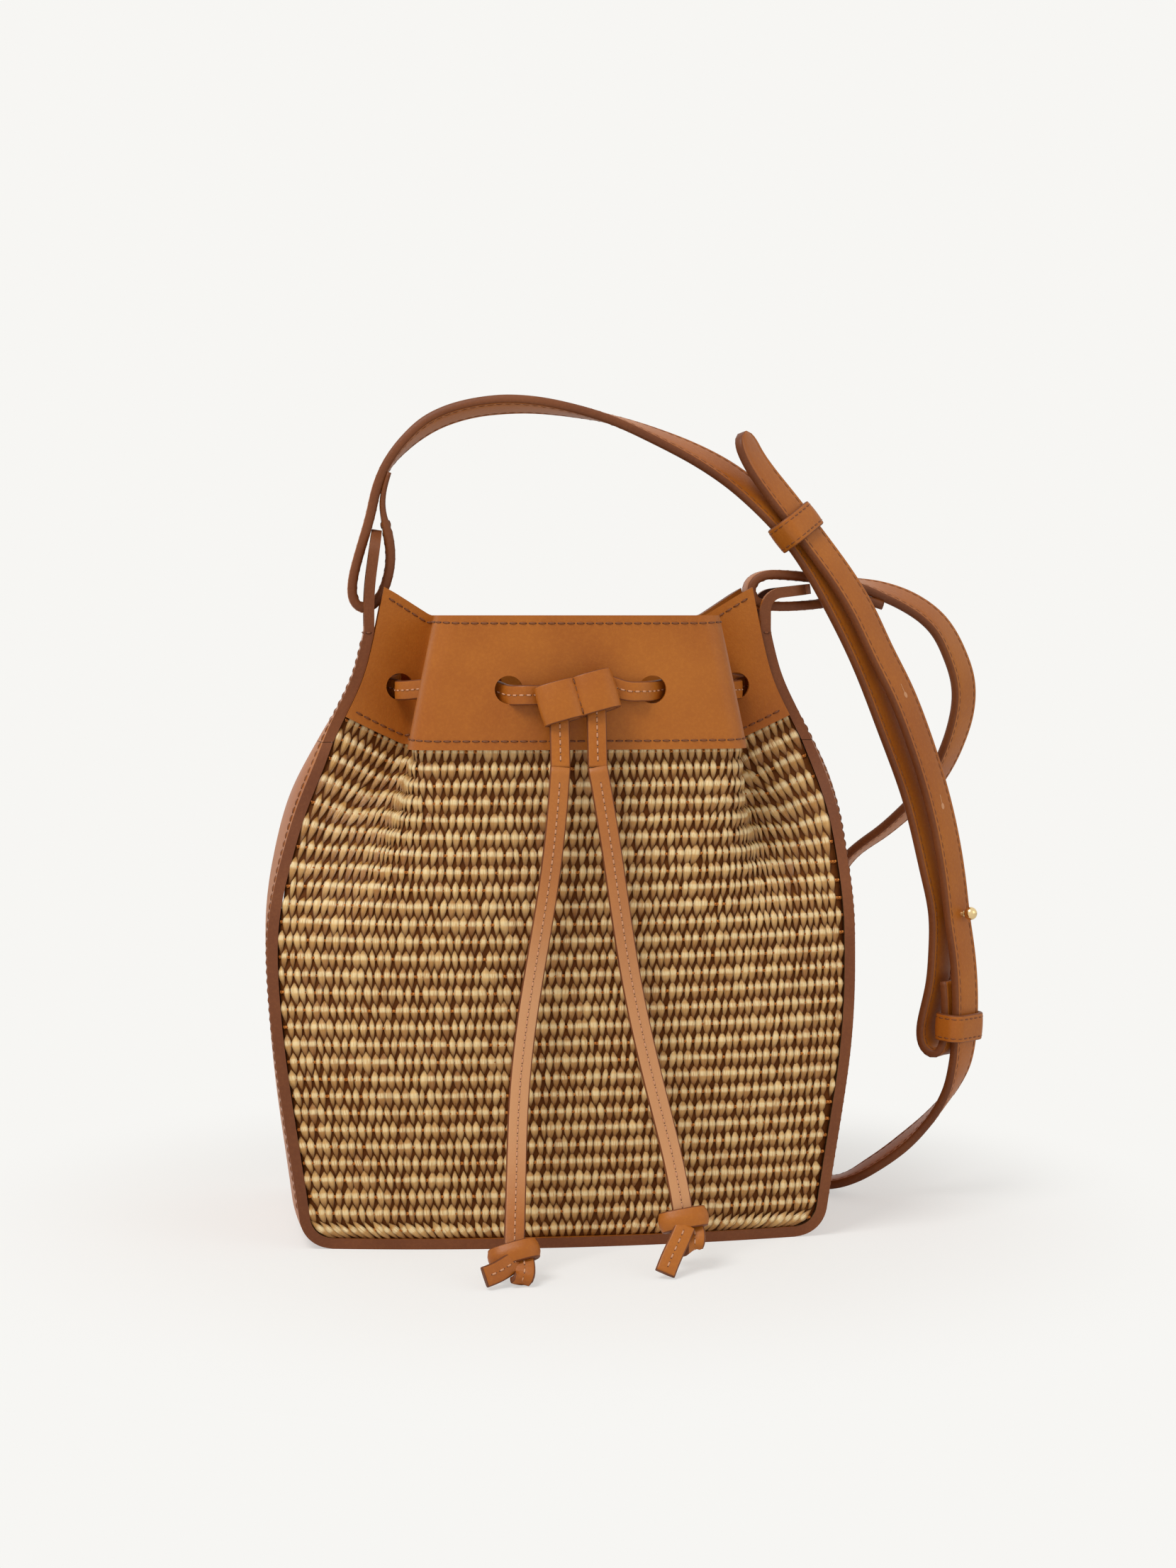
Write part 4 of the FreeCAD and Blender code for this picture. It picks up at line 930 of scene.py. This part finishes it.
def run_stations():
    """The solid's line of the lace, bowed and sloped a little more behind the side holes."""
    crease = crease_place(HOLE_HEIGHT)
    depth = glide(HOLE_HEIGHT, DEPTHS) + RUN_DROP
    outside = -depth - 2.4 - LACE / 2
    seam = glide(HOLE_HEIGHT, STRIP_WIDTHS) / 2 - EDGE_SET
    inside = inside_half_width(HOLE_HEIGHT)
    outer_y = -seam + (seam - 5.0) / (inside - crease + 3.0) * (inside - 63.2) - 1.2
    front = [
        (20.8, outside - 1.4), (25.8, -depth - 0.8), (31.0, -depth + 5.3), (37.8, -depth + 12.0),
        (crease - 9.0, -35.0), (crease, -26.0), (crease + 6.0, -19.5), (64.0, outer_y - 5.4),
        (63.2, outer_y), (63.8, outer_y + 5.4),
    ]
    side = front + [(front[-1][0] + 1.2, 0.0)] + [(x, -y) for x, y in reversed(front)]
    loop = [(x + MIDDLE, y) for x, y in side + [(0.0, -outside + 2.0)]]
    loop += [(MIDDLE - x, y) for x, y in reversed(side)]
    leg_y = outside - 0.7
    right, left = SLIDER[0] + LEG_HALF, SLIDER[0] - LEG_HALF
    start = [(right - 1.0, leg_y), (right + 4.0, leg_y), (loop[0][0] - 3.0, loop[0][1] - 0.2)]
    end = [(loop[-1][0] + 3.0, loop[-1][1] - 0.2), (left - 4.0, leg_y), (left + 1.0, leg_y)]
    stations = []
    for x, y in start + loop + end:
        bow = 4.0 * max(0.0, 1 - abs(y) / 9.0) * (1 if x > 0 else -1)
        drop = 1.3 * max(-1.0, min(1.0, y / 8.0)) * ease((abs(x) - 45.0) / 15.0)
        front = y < -40 and abs(x - MIDDLE) < 27
        climb = ease((21.0 - x) / 12.0) * 4.0 - 0.6 if x > 0 else -1.8
        lean = 0.2 if front and 8 < x < 24 else 0.0
        stations.append((x + bow, y, HOLE_HEIGHT + drop + (climb if front else 0.0), (lean, 0, 1)))
    return stations


def both_faces(frames):
    """The seam down the middle of a lace, on both of its faces."""
    return [band_seam(frames, 0.0, out) for out in (LACE_FACE, -LACE_FACE)]


run_frames = band_frames(run_stations(), 1.0)
run_piece = band_piece("lace_round_collar", run_frames, lace_outline, "bag")
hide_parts("drawstring_run")
sew("lace_round_collar_stitches", both_faces(run_frames), "bag", **LACE_STITCHES)

leg_starts = {}
for side, name in SIDES:
    centre = SLIDER + np.array([side * LEG_HALF, 0, 0])
    lift = side * LEG_HALF * math.sin(SLIDER_ROLL)
    top = -(4.4 + lift)
    back = centre - LEG_FORWARD * LEG_SPACING
    middle = centre - LEG_FORWARD * (LEG_SPACING / 2)
    radius = LEG_SPACING / 2
    path = [back + LEG_DOWN * s for s in (2.0, 0.0, top / 2)]
    for angle in (0, 30, 60, 90, 120, 150, 180):
        a = math.radians(angle)
        down, forward = top - radius * math.sin(a), -radius * math.cos(a)
        path.append(middle + LEG_DOWN * down + LEG_FORWARD * forward)
    path += [centre + LEG_DOWN * s for s in (top / 2, 0.0, STUB_LENGTH / 2, STUB_LENGTH + 1.6)]
    leg_starts[name] = centre + LEG_DOWN * (STUB_LENGTH + 1.5)
    leg_frames = band_frames([(*p, (1, 0, 0)) for p in path], 0.8)
    slim = np.linspace(1.0, 0.98, len(leg_frames[0]))
    leg = band_piece("lace_leg_" + name, leg_frames, lace_outline, "bag", slim, slim, caps=0)
    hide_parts("drawstring_run")
    sew("lace_leg_stitches_" + name, both_faces(leg_frames), "bag", **LACE_STITCHES)


# Slider: one strip of soft leather folded into two loops and sewn down the middle, one loop round
# each end of the lace. Its rims are painted brown.

SLIDER_LENGTH = 14.5
SLIDER_WALL = 1.6
LOOP_HALF_WIDTH = 6.7
LOOP_HALF_DEPTH = 3.2
slider_outline = band_outline(SLIDER_LENGTH, SLIDER_WALL, crown=0.35)
slider_down = LEG_DOWN * math.cos(SLIDER_ROLL) + np.array([math.sin(SLIDER_ROLL), 0, 0])
slider_right = np.cross(LEG_FORWARD, slider_down)
slider_right = slider_right if slider_right[0] > 0 else -slider_right
slider_middle = SLIDER + LEG_FORWARD * 0.35 + np.array([0, 0, 0.3])


def ring_frames(centre, right, out, axis, loop):
    """Frames of a band bent round a closed loop, its width along the axis."""
    loop = np.array(loop)
    points = centre + loop[:, :1] * right + loop[:, 1:] * out
    tangents = np.gradient(points, axis=0)
    tangents[0] = tangents[-1] = points[1] - points[-2]
    across = np.repeat(np.array([axis]), len(points), axis=0)
    return points, unit(tangents), across


def outward_way(frames, centre):
    """1 if a ring's normals point away from its centre, otherwise -1."""
    points, tangents, across = (part[3] for part in frames)
    return 1 if np.dot(np.cross(tangents, across), points - centre) > 0 else -1


def bowed_loop(half_width, half_depth):
    """A soft oval, flatter at its front and back than an ellipse."""
    points = []
    for angle in np.linspace(0, math.tau, 41):
        c, t = math.cos(angle), math.sin(angle)
        right = half_width * math.copysign(abs(c) ** 0.75, c)
        out = half_depth * math.copysign(abs(t) ** 0.8, t)
        points.append((right, out))
    return points


slider_loop = bowed_loop(LOOP_HALF_WIDTH, LOOP_HALF_DEPTH)
for side, name in SIDES:
    centre = slider_middle + slider_right * side * (LOOP_HALF_WIDTH - 0.1)
    frames = ring_frames(centre, slider_right, LEG_FORWARD, slider_down, slider_loop)
    loop = band_piece("slider_loop_" + name, frames, slider_outline, "slider")
    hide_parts("drawstring_slider")
seam = [slider_middle + LEG_FORWARD * 2.75 + slider_down * s for s in np.linspace(-6.8, 6.8, 20)]
slider_run = (seam, [LEG_FORWARD] * len(seam))
sew("slider_stitches", [slider_run], "slider", pitch=2.7, length=2.1, radius=0.34)


# Tails: the lace's two free ends hang in front of the bag, spread apart, and end in knots on the
# floor. Each knot is the lace tied round itself, with its cut end standing out.

TAILS = {
    "left": [(-5.2, -68.2, 150.0), (-9.8, -68.8, 120.0), (-15.7, -70.9, 89.0), (-19.6, -76.5, 59.0),
             (-20.9, -86.0, 33.0), (-22.6, -98.5, 13.5)],
    "right": [(13.9, -68.2, 150.0), (17.6, -68.9, 122.0), (22.0, -71.0, 93.0), (28.8, -75.5, 62.0),
              (35.2, -82.6, 36.0), (37.3, -88.5, 20.0)],
}
# How much of the paler colour each tail takes along its length, as (share of the way, share).
PALE_SHARES = {
    "left": [(0, 0.1), (0.15, 0.3), (0.4, 1.0), (0.7, 0.9), (0.9, 0.1)],
    "right": [(0, 0.1), (0.2, 0.4), (0.5, 0.8), (1.0, 1.0)],
}
knot_outline = band_outline(LACE_WIDTH, LACE, crown=0.7)
KNOT_LOOPS = {
    "left": {
        "wrap": ((-22.9, -101.2, 9.6), (0.97, 0.05, 0.24), (0.2, -0.45, -0.87), 7.4, 3.4),
        "cut_end": [
            (-21.0, -103.0, 8.6), (-25.0, -106.5, 7.2), (-29.5, -109.0, 5.4), (-33.6, -111.0, 4.4),
        ],
        "cut_width": (0.53, -0.1, -0.82),
        "return": [
            (-20.0, -102.5, 9.0), (-19.6, -106.5, 5.6), (-20.4, -108.6, 3.2), (-22.6, -107.5, 1.8),
        ],
        "return_width": (1.0, 0.0, 0.1),
    },
    "right": {
        "wrap": ((37.4, -89.6, 17.2), (0.98, 0.0, 0.16), (0.1, -0.35, -0.93), 7.2, 3.3),
        "cut_end": [(37.5, -93.5, 16.0), (34.5, -97.0, 11.0), (31.5, -100.5, 6.5), (29.0, -103.5, 2.0)],
        "cut_width": (0.88, -0.2, -0.42),
        "return": [(40.5, -90.5, 15.0), (41.0, -93.5, 11.6), (39.8, -94.6, 8.8), (38.2, -92.6, 7.6)],
        "return_width": (0.8, 0.2, 0.5),
    },
}


def tail_line(points):
    """The smooth line that takes the tail's points as its control points, and its direction."""
    points = np.asarray(points, float)
    places = np.linspace(0, len(points) - 3, 140)
    line = spline_weights(len(points), places) @ points
    return line, unit(np.gradient(line, axis=0))


for name, route in TAILS.items():
    body = name + "_tail"
    points = [leg_starts[name]] + [np.array(p) for p in route + [KNOT_LOOPS[name]["wrap"][0]]]
    line, tangents = tail_line(points)
    tail_frames = (line, tangents, square_to(np.array([1.0, 0.0, 0.0]), tangents))
    tail = band_piece("lace_tail_" + name, tail_frames, lace_outline, body, hide=lace_leather, caps=0)
    rubbed = [glide(share, PALE_SHARES[name]) for share in np.linspace(0, 1, len(line))]
    add_values(tail, "rubbed", np.repeat(rubbed, len(lace_outline)))
    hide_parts("drawstring_%s_tail" % name)
    seam = sew("lace_tail_stitches_" + name, both_faces(tail_frames), body, **LACE_STITCHES)
    parts = KNOT_LOOPS[name]
    centre, right, down, half, depth = parts["wrap"]
    centre, right = np.array(centre), unit(np.array(right))
    down = square_to(np.array(down), right)
    wrap_frames = ring_frames(centre, right, np.cross(right, down), down, bowed_loop(half, depth))
    turns = [band_piece("knot_wrap_" + name, wrap_frames, knot_outline, body)]
    seams = [band_seam(wrap_frames, 0.0, outward_way(wrap_frames, centre) * LACE_FACE, 0)]
    for kind, width in (("cut_end", "cut_width"), ("return", "return_width")):
        frames = band_frames([(*p, parts[width]) for p in parts[kind]], 0.8)
        turns.append(band_piece("knot_%s_%s" % (kind, name), frames, lace_outline, body))
        seams += both_faces(frames)
    for turn in turns:
        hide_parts(name + "_knot")
    knot_seam = sew("knot_stitches_" + name, seams, body, **LACE_STITCHES)
    pieces = [seam, knot_seam] + turns
    length = float(run_along(line)[-1])
    tuple(line[0] * MM)
    [tuple(p * MM) for p in line]


# Shoulder strap: two straps of doubled leather sewn along both edges. The stud side comes from the
# left tab, folds back at its lower end and carries the ball stud; the hole side comes from the right
# tab, runs over the floor behind and up the front of the other, and its holes button on the stud.

FLAT = (0, 1, 0)
TAB_SHIFT = 4.3
STUD_SIDE = [
    (-65.9, 0, 281.0, FLAT), (-67.6, 0, 275.2, FLAT), (-68.3, 0, 268.5, FLAT), (-67.0, 0, 261, FLAT),
    (-65.6, 0, 253, FLAT), (-65.7, 0, 246.5, FLAT), (-67.0, 0, 240.5, FLAT), (-69.2, 0, 235.4, FLAT),
    (-72.2, 0, 231.9, FLAT), (-75.6, 0, 230.6, FLAT), (-78.6, 0, 232.6, FLAT), (-79.8, 0, 238, FLAT),
    (-78.2, 0, 247, FLAT), (-75.4, 0, 256.5, FLAT), (-72.7, 0, 266, FLAT), (-70.4, 0, 275.5, FLAT),
    (-66.6, 0, 284.0, (0.04, 1, -0.02)), (-59.8, 0, 292.2, (0.14, 0.97, -0.1)),
    (-51.4, 0, 299, (0.18, 0.95, -0.22)), (-39.9, 0, 304, (0.1, 0.95, -0.28)),
    (-26.1, 0, 306.6, (0.02, 0.95, -0.28)), (-12, 0, 306.8, (0, 0.97, -0.2)),
    (3.3, 0, 304.8, (0, 1, -0.06)), (15.8, -1, 302, (0.03, 1, 0.1)), (32.3, -2, 296.2, (0.14, 0.95, 0.3)),
    (47, -4.2, 289.6, (0.26, 0.87, 0.42)), (62.2, -6.5, 280.6, (0.4, 0.78, 0.5)),
    (74, -8.3, 270.9, (0.54, 0.7, 0.47)), (88.3, -9.8, 255.3, (0.64, 0.66, 0.41)),
    (101.8, -10.4, 233.6, (0.68, 0.64, 0.36)), (113.1, -10, 211.5, (0.7, 0.63, 0.33)),
    (124.2, -8.8, 184.7, (0.72, 0.62, 0.27)), (134.4, -7.6, 157.7, (0.73, 0.62, 0.25)),
    (141.6, -6.6, 130, (0.74, 0.62, 0.18)), (144.9, -6.2, 114.5, (0.76, 0.62, 0.06)),
    (145.3, -5.6, 99, (0.77, 0.62, 0)), (144.2, -4.8, 85, (0.76, 0.63, 0)),
    (141.8, -4, 74, (0.73, 0.66, 0)), (141.2, -3.6, 66, (0.72, 0.66, 0)),
    (142.6, -4.5, 61.8, (0.72, 0.66, 0)), (145.4, -6.2, 60.2, (0.72, 0.66, 0)),
    (148.2, -7.7, 62.4, (0.73, 0.66, 0)),
    (149.4, -8.3, 67, (0.74, 0.65, 0)), (149.8, -8.4, 73, (0.76, 0.63, 0)),
    (149.8, -8.2, 80, (0.77, 0.62, 0)), (149.3, -7.8, 88, (0.77, 0.62, 0)),
]
HOLE_SIDE = [
    (65.9, -10.8, 296.4, (0.44, 0.76, 0.48)), (69.1, -11.0, 288.6, (0.47, 0.74, 0.48)),
    (74.5, -11.2, 280.2, (0.52, 0.71, 0.47)), (82.4, -11.9, 270.1, (0.59, 0.68, 0.45)),
    (92.5, -12.8, 256.9, (0.64, 0.65, 0.41)), (102.9, -13.7, 242.8, (0.67, 0.64, 0.38)),
    (111.7, -14.1, 228.5, (0.69, 0.63, 0.36)), (118.7, -13.9, 214.2, (0.7, 0.63, 0.33)),
    (126.3, -13.4, 199.6, (0.72, 0.62, 0.29)), (132.4, -13, 185.2, (0.73, 0.62, 0.26)),
    (142.2, -11.8, 155.8, (0.74, 0.62, 0.25)), (146.3, -11.1, 138.4, (0.75, 0.62, 0.21)),
    (149.0, -10.3, 122.3, (0.76, 0.62, 0.13)), (150.4, -10.1, 111.4, (0.77, 0.62, 0.08)),
    (152.0, -10.5, 100.5, (0.77, 0.62, 0.05)), (153.1, -10.9, 89.4, (0.77, 0.62, 0.02)),
    (153.5, -11, 77, (0.77, 0.62, 0)), (153.2, -10.8, 67, (0.75, 0.64, -0.02)),
    (152.3, -9, 56, (0.66, 0.72, -0.1)), (149.6, -5.2, 45, (0.42, 0.88, -0.15)),
    (143.7, 1.6, 33.2, (0.16, 0.97, -0.1)), (131.8, 6, 20.5, (0, 1, 0)), (121, 9.4, 12, (0.05, 1, 0)),
    (112, 13.4, 6.4, (0.3, 0.95, 0)), (105.4, 20, 4, (0.6, 0.8, 0)), (101.6, 30, 3.6, (0.9, 0.44, 0)),
    (100.4, 42, 4, (1, 0.1, 0)), (100.6, 54, 7, (1, 0, 0)), (102, 63.5, 15, (1, 0, 0)),
    (104.4, 68, 28, (1, 0.05, 0)), (106.8, 70.4, 46, (0.97, 0.2, 0)), (108.8, 70.6, 70, (0.9, 0.4, 0)),
    (111, 69, 95, (0.75, 0.65, -0.1)), (115.4, 64.5, 116, (0.5, 0.85, -0.2)),
    (124.2, 57, 131.4, (0.3, 0.92, -0.2)), (133.1, 50, 139.6, (0.28, 0.92, -0.25)),
    (142, 42, 149.1, (0.34, 0.9, -0.28)), (151.5, 33, 162.5, (0.54, 0.82, -0.2)),
    (156.8, 26, 176.4, (0.68, 0.73, -0.08)), (159.4, 21, 189.8, (0.73, 0.68, 0)),
    (158.6, 17, 201.7, (0.72, 0.68, 0.1)), (154, 14, 213.6, (0.63, 0.7, 0.3)),
    (146.6, 11, 224.6, (0.45, 0.76, 0.46)), (136, 9.4, 232.4, (0.26, 0.82, 0.5)),
    (125, 7.6, 236.8, (0.1, 0.88, 0.42)), (114, 6, 239.6, (0, 0.97, 0.2)), (103, 4.2, 241.4, FLAT),
    (92, 1.8, 242.7, FLAT), (82, 0, 243.4, FLAT), (75.4, 0, 242.9, FLAT), (71.4, 0, 240.2, FLAT),
    (70.7, 0, 236.4, FLAT), (73, 0, 233, FLAT), (78, 0, 231.6, FLAT), (90, 1.8, 231.6, FLAT),
    (102, 4.2, 233.0, FLAT), (112, 6, 234.6, (0, 1, 0.06)), (122.4, 7.6, 232.8, (0.04, 0.97, 0.15)),
]
STRAP_WIDTH = 13.5
STRAP = 3.4
STRAP_STEP = 1.5
strap_outline = band_outline(STRAP_WIDTH, STRAP, crown=0.12, groove_inset=1.9)


def shifted(stations):
    """The stations moved over to the bag's leaning top."""
    return [(x + TAB_SHIFT, y, z, hint) for x, y, z, hint in stations]


stud_frames = band_frames(shifted(STUD_SIDE), STRAP_STEP)
hole_frames = band_frames(shifted(HOLE_SIDE), STRAP_STEP)
from_end = np.arange(len(stud_frames[0])) * STRAP_STEP
pared = np.interp(from_end, [0.0, 16.0, 24.0], [0.5, 0.62, 1.0])
stud_strap = band_piece("strap_with_stud", stud_frames, strap_outline, "strap", thin=pared)
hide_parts("strap_stud_side")
from_tip = np.arange(len(hole_frames[0])) * np.linalg.norm(hole_frames[0][1] - hole_frames[0][0])
tip = np.sqrt(np.clip(1 - np.clip(1 - from_tip / (STRAP_WIDTH / 2), 0, 1) ** 2, 0.01, 1))
hole_strap = band_piece("strap_with_holes", hole_frames, strap_outline, "strap", tip)
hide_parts("strap_hole_side")
for name, frames in (("strap_with_stud", stud_frames), ("strap_with_holes", hole_frames)):
    runs = [band_seam(frames, place, out, 12) for place in (4.85, -4.85) for out in (1.52, -1.52)]
    sew(name + "_stitches", runs, "strap", pitch=3.3, length=2.7, radius=0.32)


# Keepers: two leather rings sewn along both edges. One slides on the strap and holds the tip down,
# the other is sewn on the folded end of the stud side and lets the hole side through.

KEEPER_CORNER = 3.6
KEEPER_WALL = 1.8
KEEPER_LENGTH = 10.5
KEEPER_PLAY = 0.5
TONGUE_START = 0.965
keeper_outline = band_outline(KEEPER_LENGTH, KEEPER_WALL, crown=0.25)


def nearest(frames, spot):
    """The frame of a band that is nearest to a point."""
    i = int(np.argmin(np.linalg.norm(frames[0] - np.array(spot), axis=1)))
    return frames[0][i], frames[1][i], frames[2][i]


def rounded_loop(half_width, half_height, corner):
    """Points round a rectangle with round corners, closed."""
    points = []
    for sx, sy, start_angle in ((1, 1, 0), (-1, 1, 90), (-1, -1, 180), (1, -1, 270)):
        for step in range(7):
            angle = math.radians(start_angle + 15 * step)
            points.append((
                sx * (half_width - corner) + corner * math.cos(angle),
                sy * (half_height - corner) + corner * math.sin(angle),
            ))
    return points + points[:1]


tongue = tuple(part[int(len(part) * TONGUE_START):] for part in stud_frames)
for name, body, spot, below in (
    ("sliding_keeper", "keeper", (91.35, -10.94, 261.51), stud_frames),
    ("fixed_keeper", "strap", (156.75, -9.7, 70.5), tongue),
):
    top, tangent, right = nearest(hole_frames, spot)
    low, _, _ = nearest(below, spot)
    out = np.cross(tangent, right)
    gap = low - top
    deep, shift = np.dot(gap, out), np.dot(gap, right)
    centre = top + out * deep / 2 + right * shift / 2
    centre = centre + tangent * np.dot(np.array(spot) - centre, tangent)
    room = KEEPER_PLAY + KEEPER_WALL / 2
    half_across, half_deep = (STRAP_WIDTH + abs(shift)) / 2 + room, (abs(deep) + STRAP) / 2 + room
    loop = rounded_loop(half_across, half_deep, KEEPER_CORNER)
    frames = ring_frames(centre, right, out, tangent, loop)
    ring = band_piece(name + "_ring", frames, keeper_outline, body)
    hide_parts(name)
    out_face = outward_way(frames, centre) * 0.98
    runs = [band_seam(frames, place, out_face, 0) for place in (3.7, -3.7)]
    sew(name + "_stitches", runs, body, pitch=2.9, length=2.2, radius=0.3)


# Button holes: small round holes in the hole side, each with a short slit above it, so that the
# ball can be pushed through. The two that show have worn rims, paler than the leather.

WORN = ((214, 160, 120), (196, 140, 100))
RIM_OUT = 1.86
rim_leather = new_material("hole_rim", hide_look(*WORN, gloss=0.6), Specular_IOR_Level=0.2)
HOLE_SPOTS = [(131.1, -9, 197), (145.8, -10, 155.2)]
for number, spot in enumerate(HOLE_SPOTS, 1):
    point, tangent, right = nearest(hole_frames, spot)
    out = np.cross(tangent, right)
    out = out if out[1] < 0 else -out
    face = point + out * RIM_OUT
    points, faces = [], []
    for k in range(12):
        angle = math.radians(30 * k)
        points.append(face + right * 0.85 * math.cos(angle) + tangent * 1.25 * math.sin(angle))
    faces.append(tuple(range(12)))
    for side, end in ((1, 1.2), (-1, 1.2), (-1, 4.6), (1, 4.6)):
        points.append(face + right * side * 0.16 - tangent * end)
    faces.append((12, 13, 14, 15))
    rim = new_piece("button_hole_%d" % number, points, faces, rim_leather, "strap", smooth=False)


# Ball stud: a polished pale gold ball on a post, screwed through the strap from behind.
# The gold is a thin plating on brass.


def gold_build(start):
    """Pale gold with a faint unevenness."""
    place = start.make("ShaderNodeTexCoord", out=3)
    noise = start.make("ShaderNodeTexNoise", None, {"Vector": place, "Scale": 700.0})
    plating = noise.blend(colour(226, 196, 140), colour(238, 212, 160))
    return {"Base Color": plating, "Roughness": noise * 0.1 + 0.12}


gold = new_material("pale_gold", gold_build, Metallic=1.0)
for name in ("stud_ball", "stud_screw"):
    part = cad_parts[name]
    soften(part, [gold], lambda normal, centre: 0, bevel=0.15)


# Studio: a white floor that fades into a white backdrop, one large soft lamp from the upper left
# and the front, a weaker one from the right, and the camera at the photograph's place.

FLOOR_SIZE = 6.0
BACKDROP = (0.93, 0.922, 0.898)
floor_mesh = bpy.data.meshes.new("floor")
floor_corners = [(FLOOR_SIZE * x, FLOOR_SIZE * y, 0) for x, y in ((-1, -1), (1, -1), (1, 1), (-1, 1))]
floor_mesh.from_pydata(floor_corners, [], [(0, 1, 2, 3)])
floor = bpy.data.objects.new("floor", floor_mesh)
bpy.context.collection.objects.link(floor)
paper = bpy.data.materials.new("white_paper")
paper.use_nodes = True
tree = paper.node_tree
start = Shade(tree)
shader = tree.nodes["Principled BSDF"]
shader.inputs["Base Color"].default_value = (0.93, 0.92, 0.9, 1)
shader.inputs["Roughness"].default_value = 0.9
plain = Shade(tree, shader.outputs[0])
place = start.make("ShaderNodeTexCoord", out=3)
distance = start.make("ShaderNodeVectorMath", {"operation": "LENGTH"}, {0: place}, 1)
white = start.make("ShaderNodeEmission", None, {"Color": (*BACKDROP, 1), "Strength": 1.0})
camera_ray = start.make("ShaderNodeLightPath", out=0)
fade = (distance.step(0.13, 0.26) * 0.45 + 0.55) * camera_ray
mixed = start.make("ShaderNodeMixShader", None, {0: fade, 1: plain, 2: white})
tree.links.new(mixed.socket, tree.nodes["Material Output"].inputs["Surface"])
floor_mesh.materials.append(paper)

world = bpy.data.worlds.new("studio")
bpy.context.scene.world = world
world.use_nodes = True
tree = world.node_tree
start = Shade(tree)
rays = [start.make("ShaderNodeLightPath", out=k) for k in (0, 3, 6)]
seen = rays[0].maths("MAXIMUM", rays[1]).maths("MAXIMUM", rays[2])
dim = start.make("ShaderNodeBackground", None, {"Color": (1, 0.98, 0.95, 1), "Strength": 0.5})
bright = start.make("ShaderNodeBackground", None, {"Color": (*BACKDROP, 1), "Strength": 1.0})
sky = start.make("ShaderNodeMixShader", None, {0: seen, 1: dim, 2: bright})
tree.links.new(sky.socket, tree.nodes["World Output"].inputs["Surface"])


def add_lamp(name, place, target, size, power):
    """A square lamp that faces its target."""
    data = bpy.data.lights.new(name, "AREA")
    data.shape = "SQUARE"
    data.size = size
    data.energy = power
    lamp = bpy.data.objects.new(name, data)
    lamp.location = place
    lamp.rotation_euler = (Vector(target) - Vector(place)).to_track_quat("-Z", "Y").to_euler()
    bpy.context.collection.objects.link(lamp)


BAG_MIDDLE = (0, 0, 0.12)
add_lamp("soft_key", (-0.65, -0.7, 1.5), BAG_MIDDLE, size=0.7, power=15.0)
add_lamp("soft_fill", (1.3, -1.0, 0.8), BAG_MIDDLE, size=1.0, power=2.5)

camera_data = bpy.data.cameras.new("camera")
camera_data.lens = 57.56
camera_data.sensor_fit = "AUTO"
camera = bpy.data.objects.new("camera", camera_data)
camera.location = (-0.08675, -0.9456, 0.228)
camera.rotation_euler = (math.radians(90 - 3.85), 0.0, math.radians(-6.04))
bpy.context.collection.objects.link(camera)
bpy.context.scene.camera = camera
bpy.context.scene.view_settings.view_transform = "Standard"
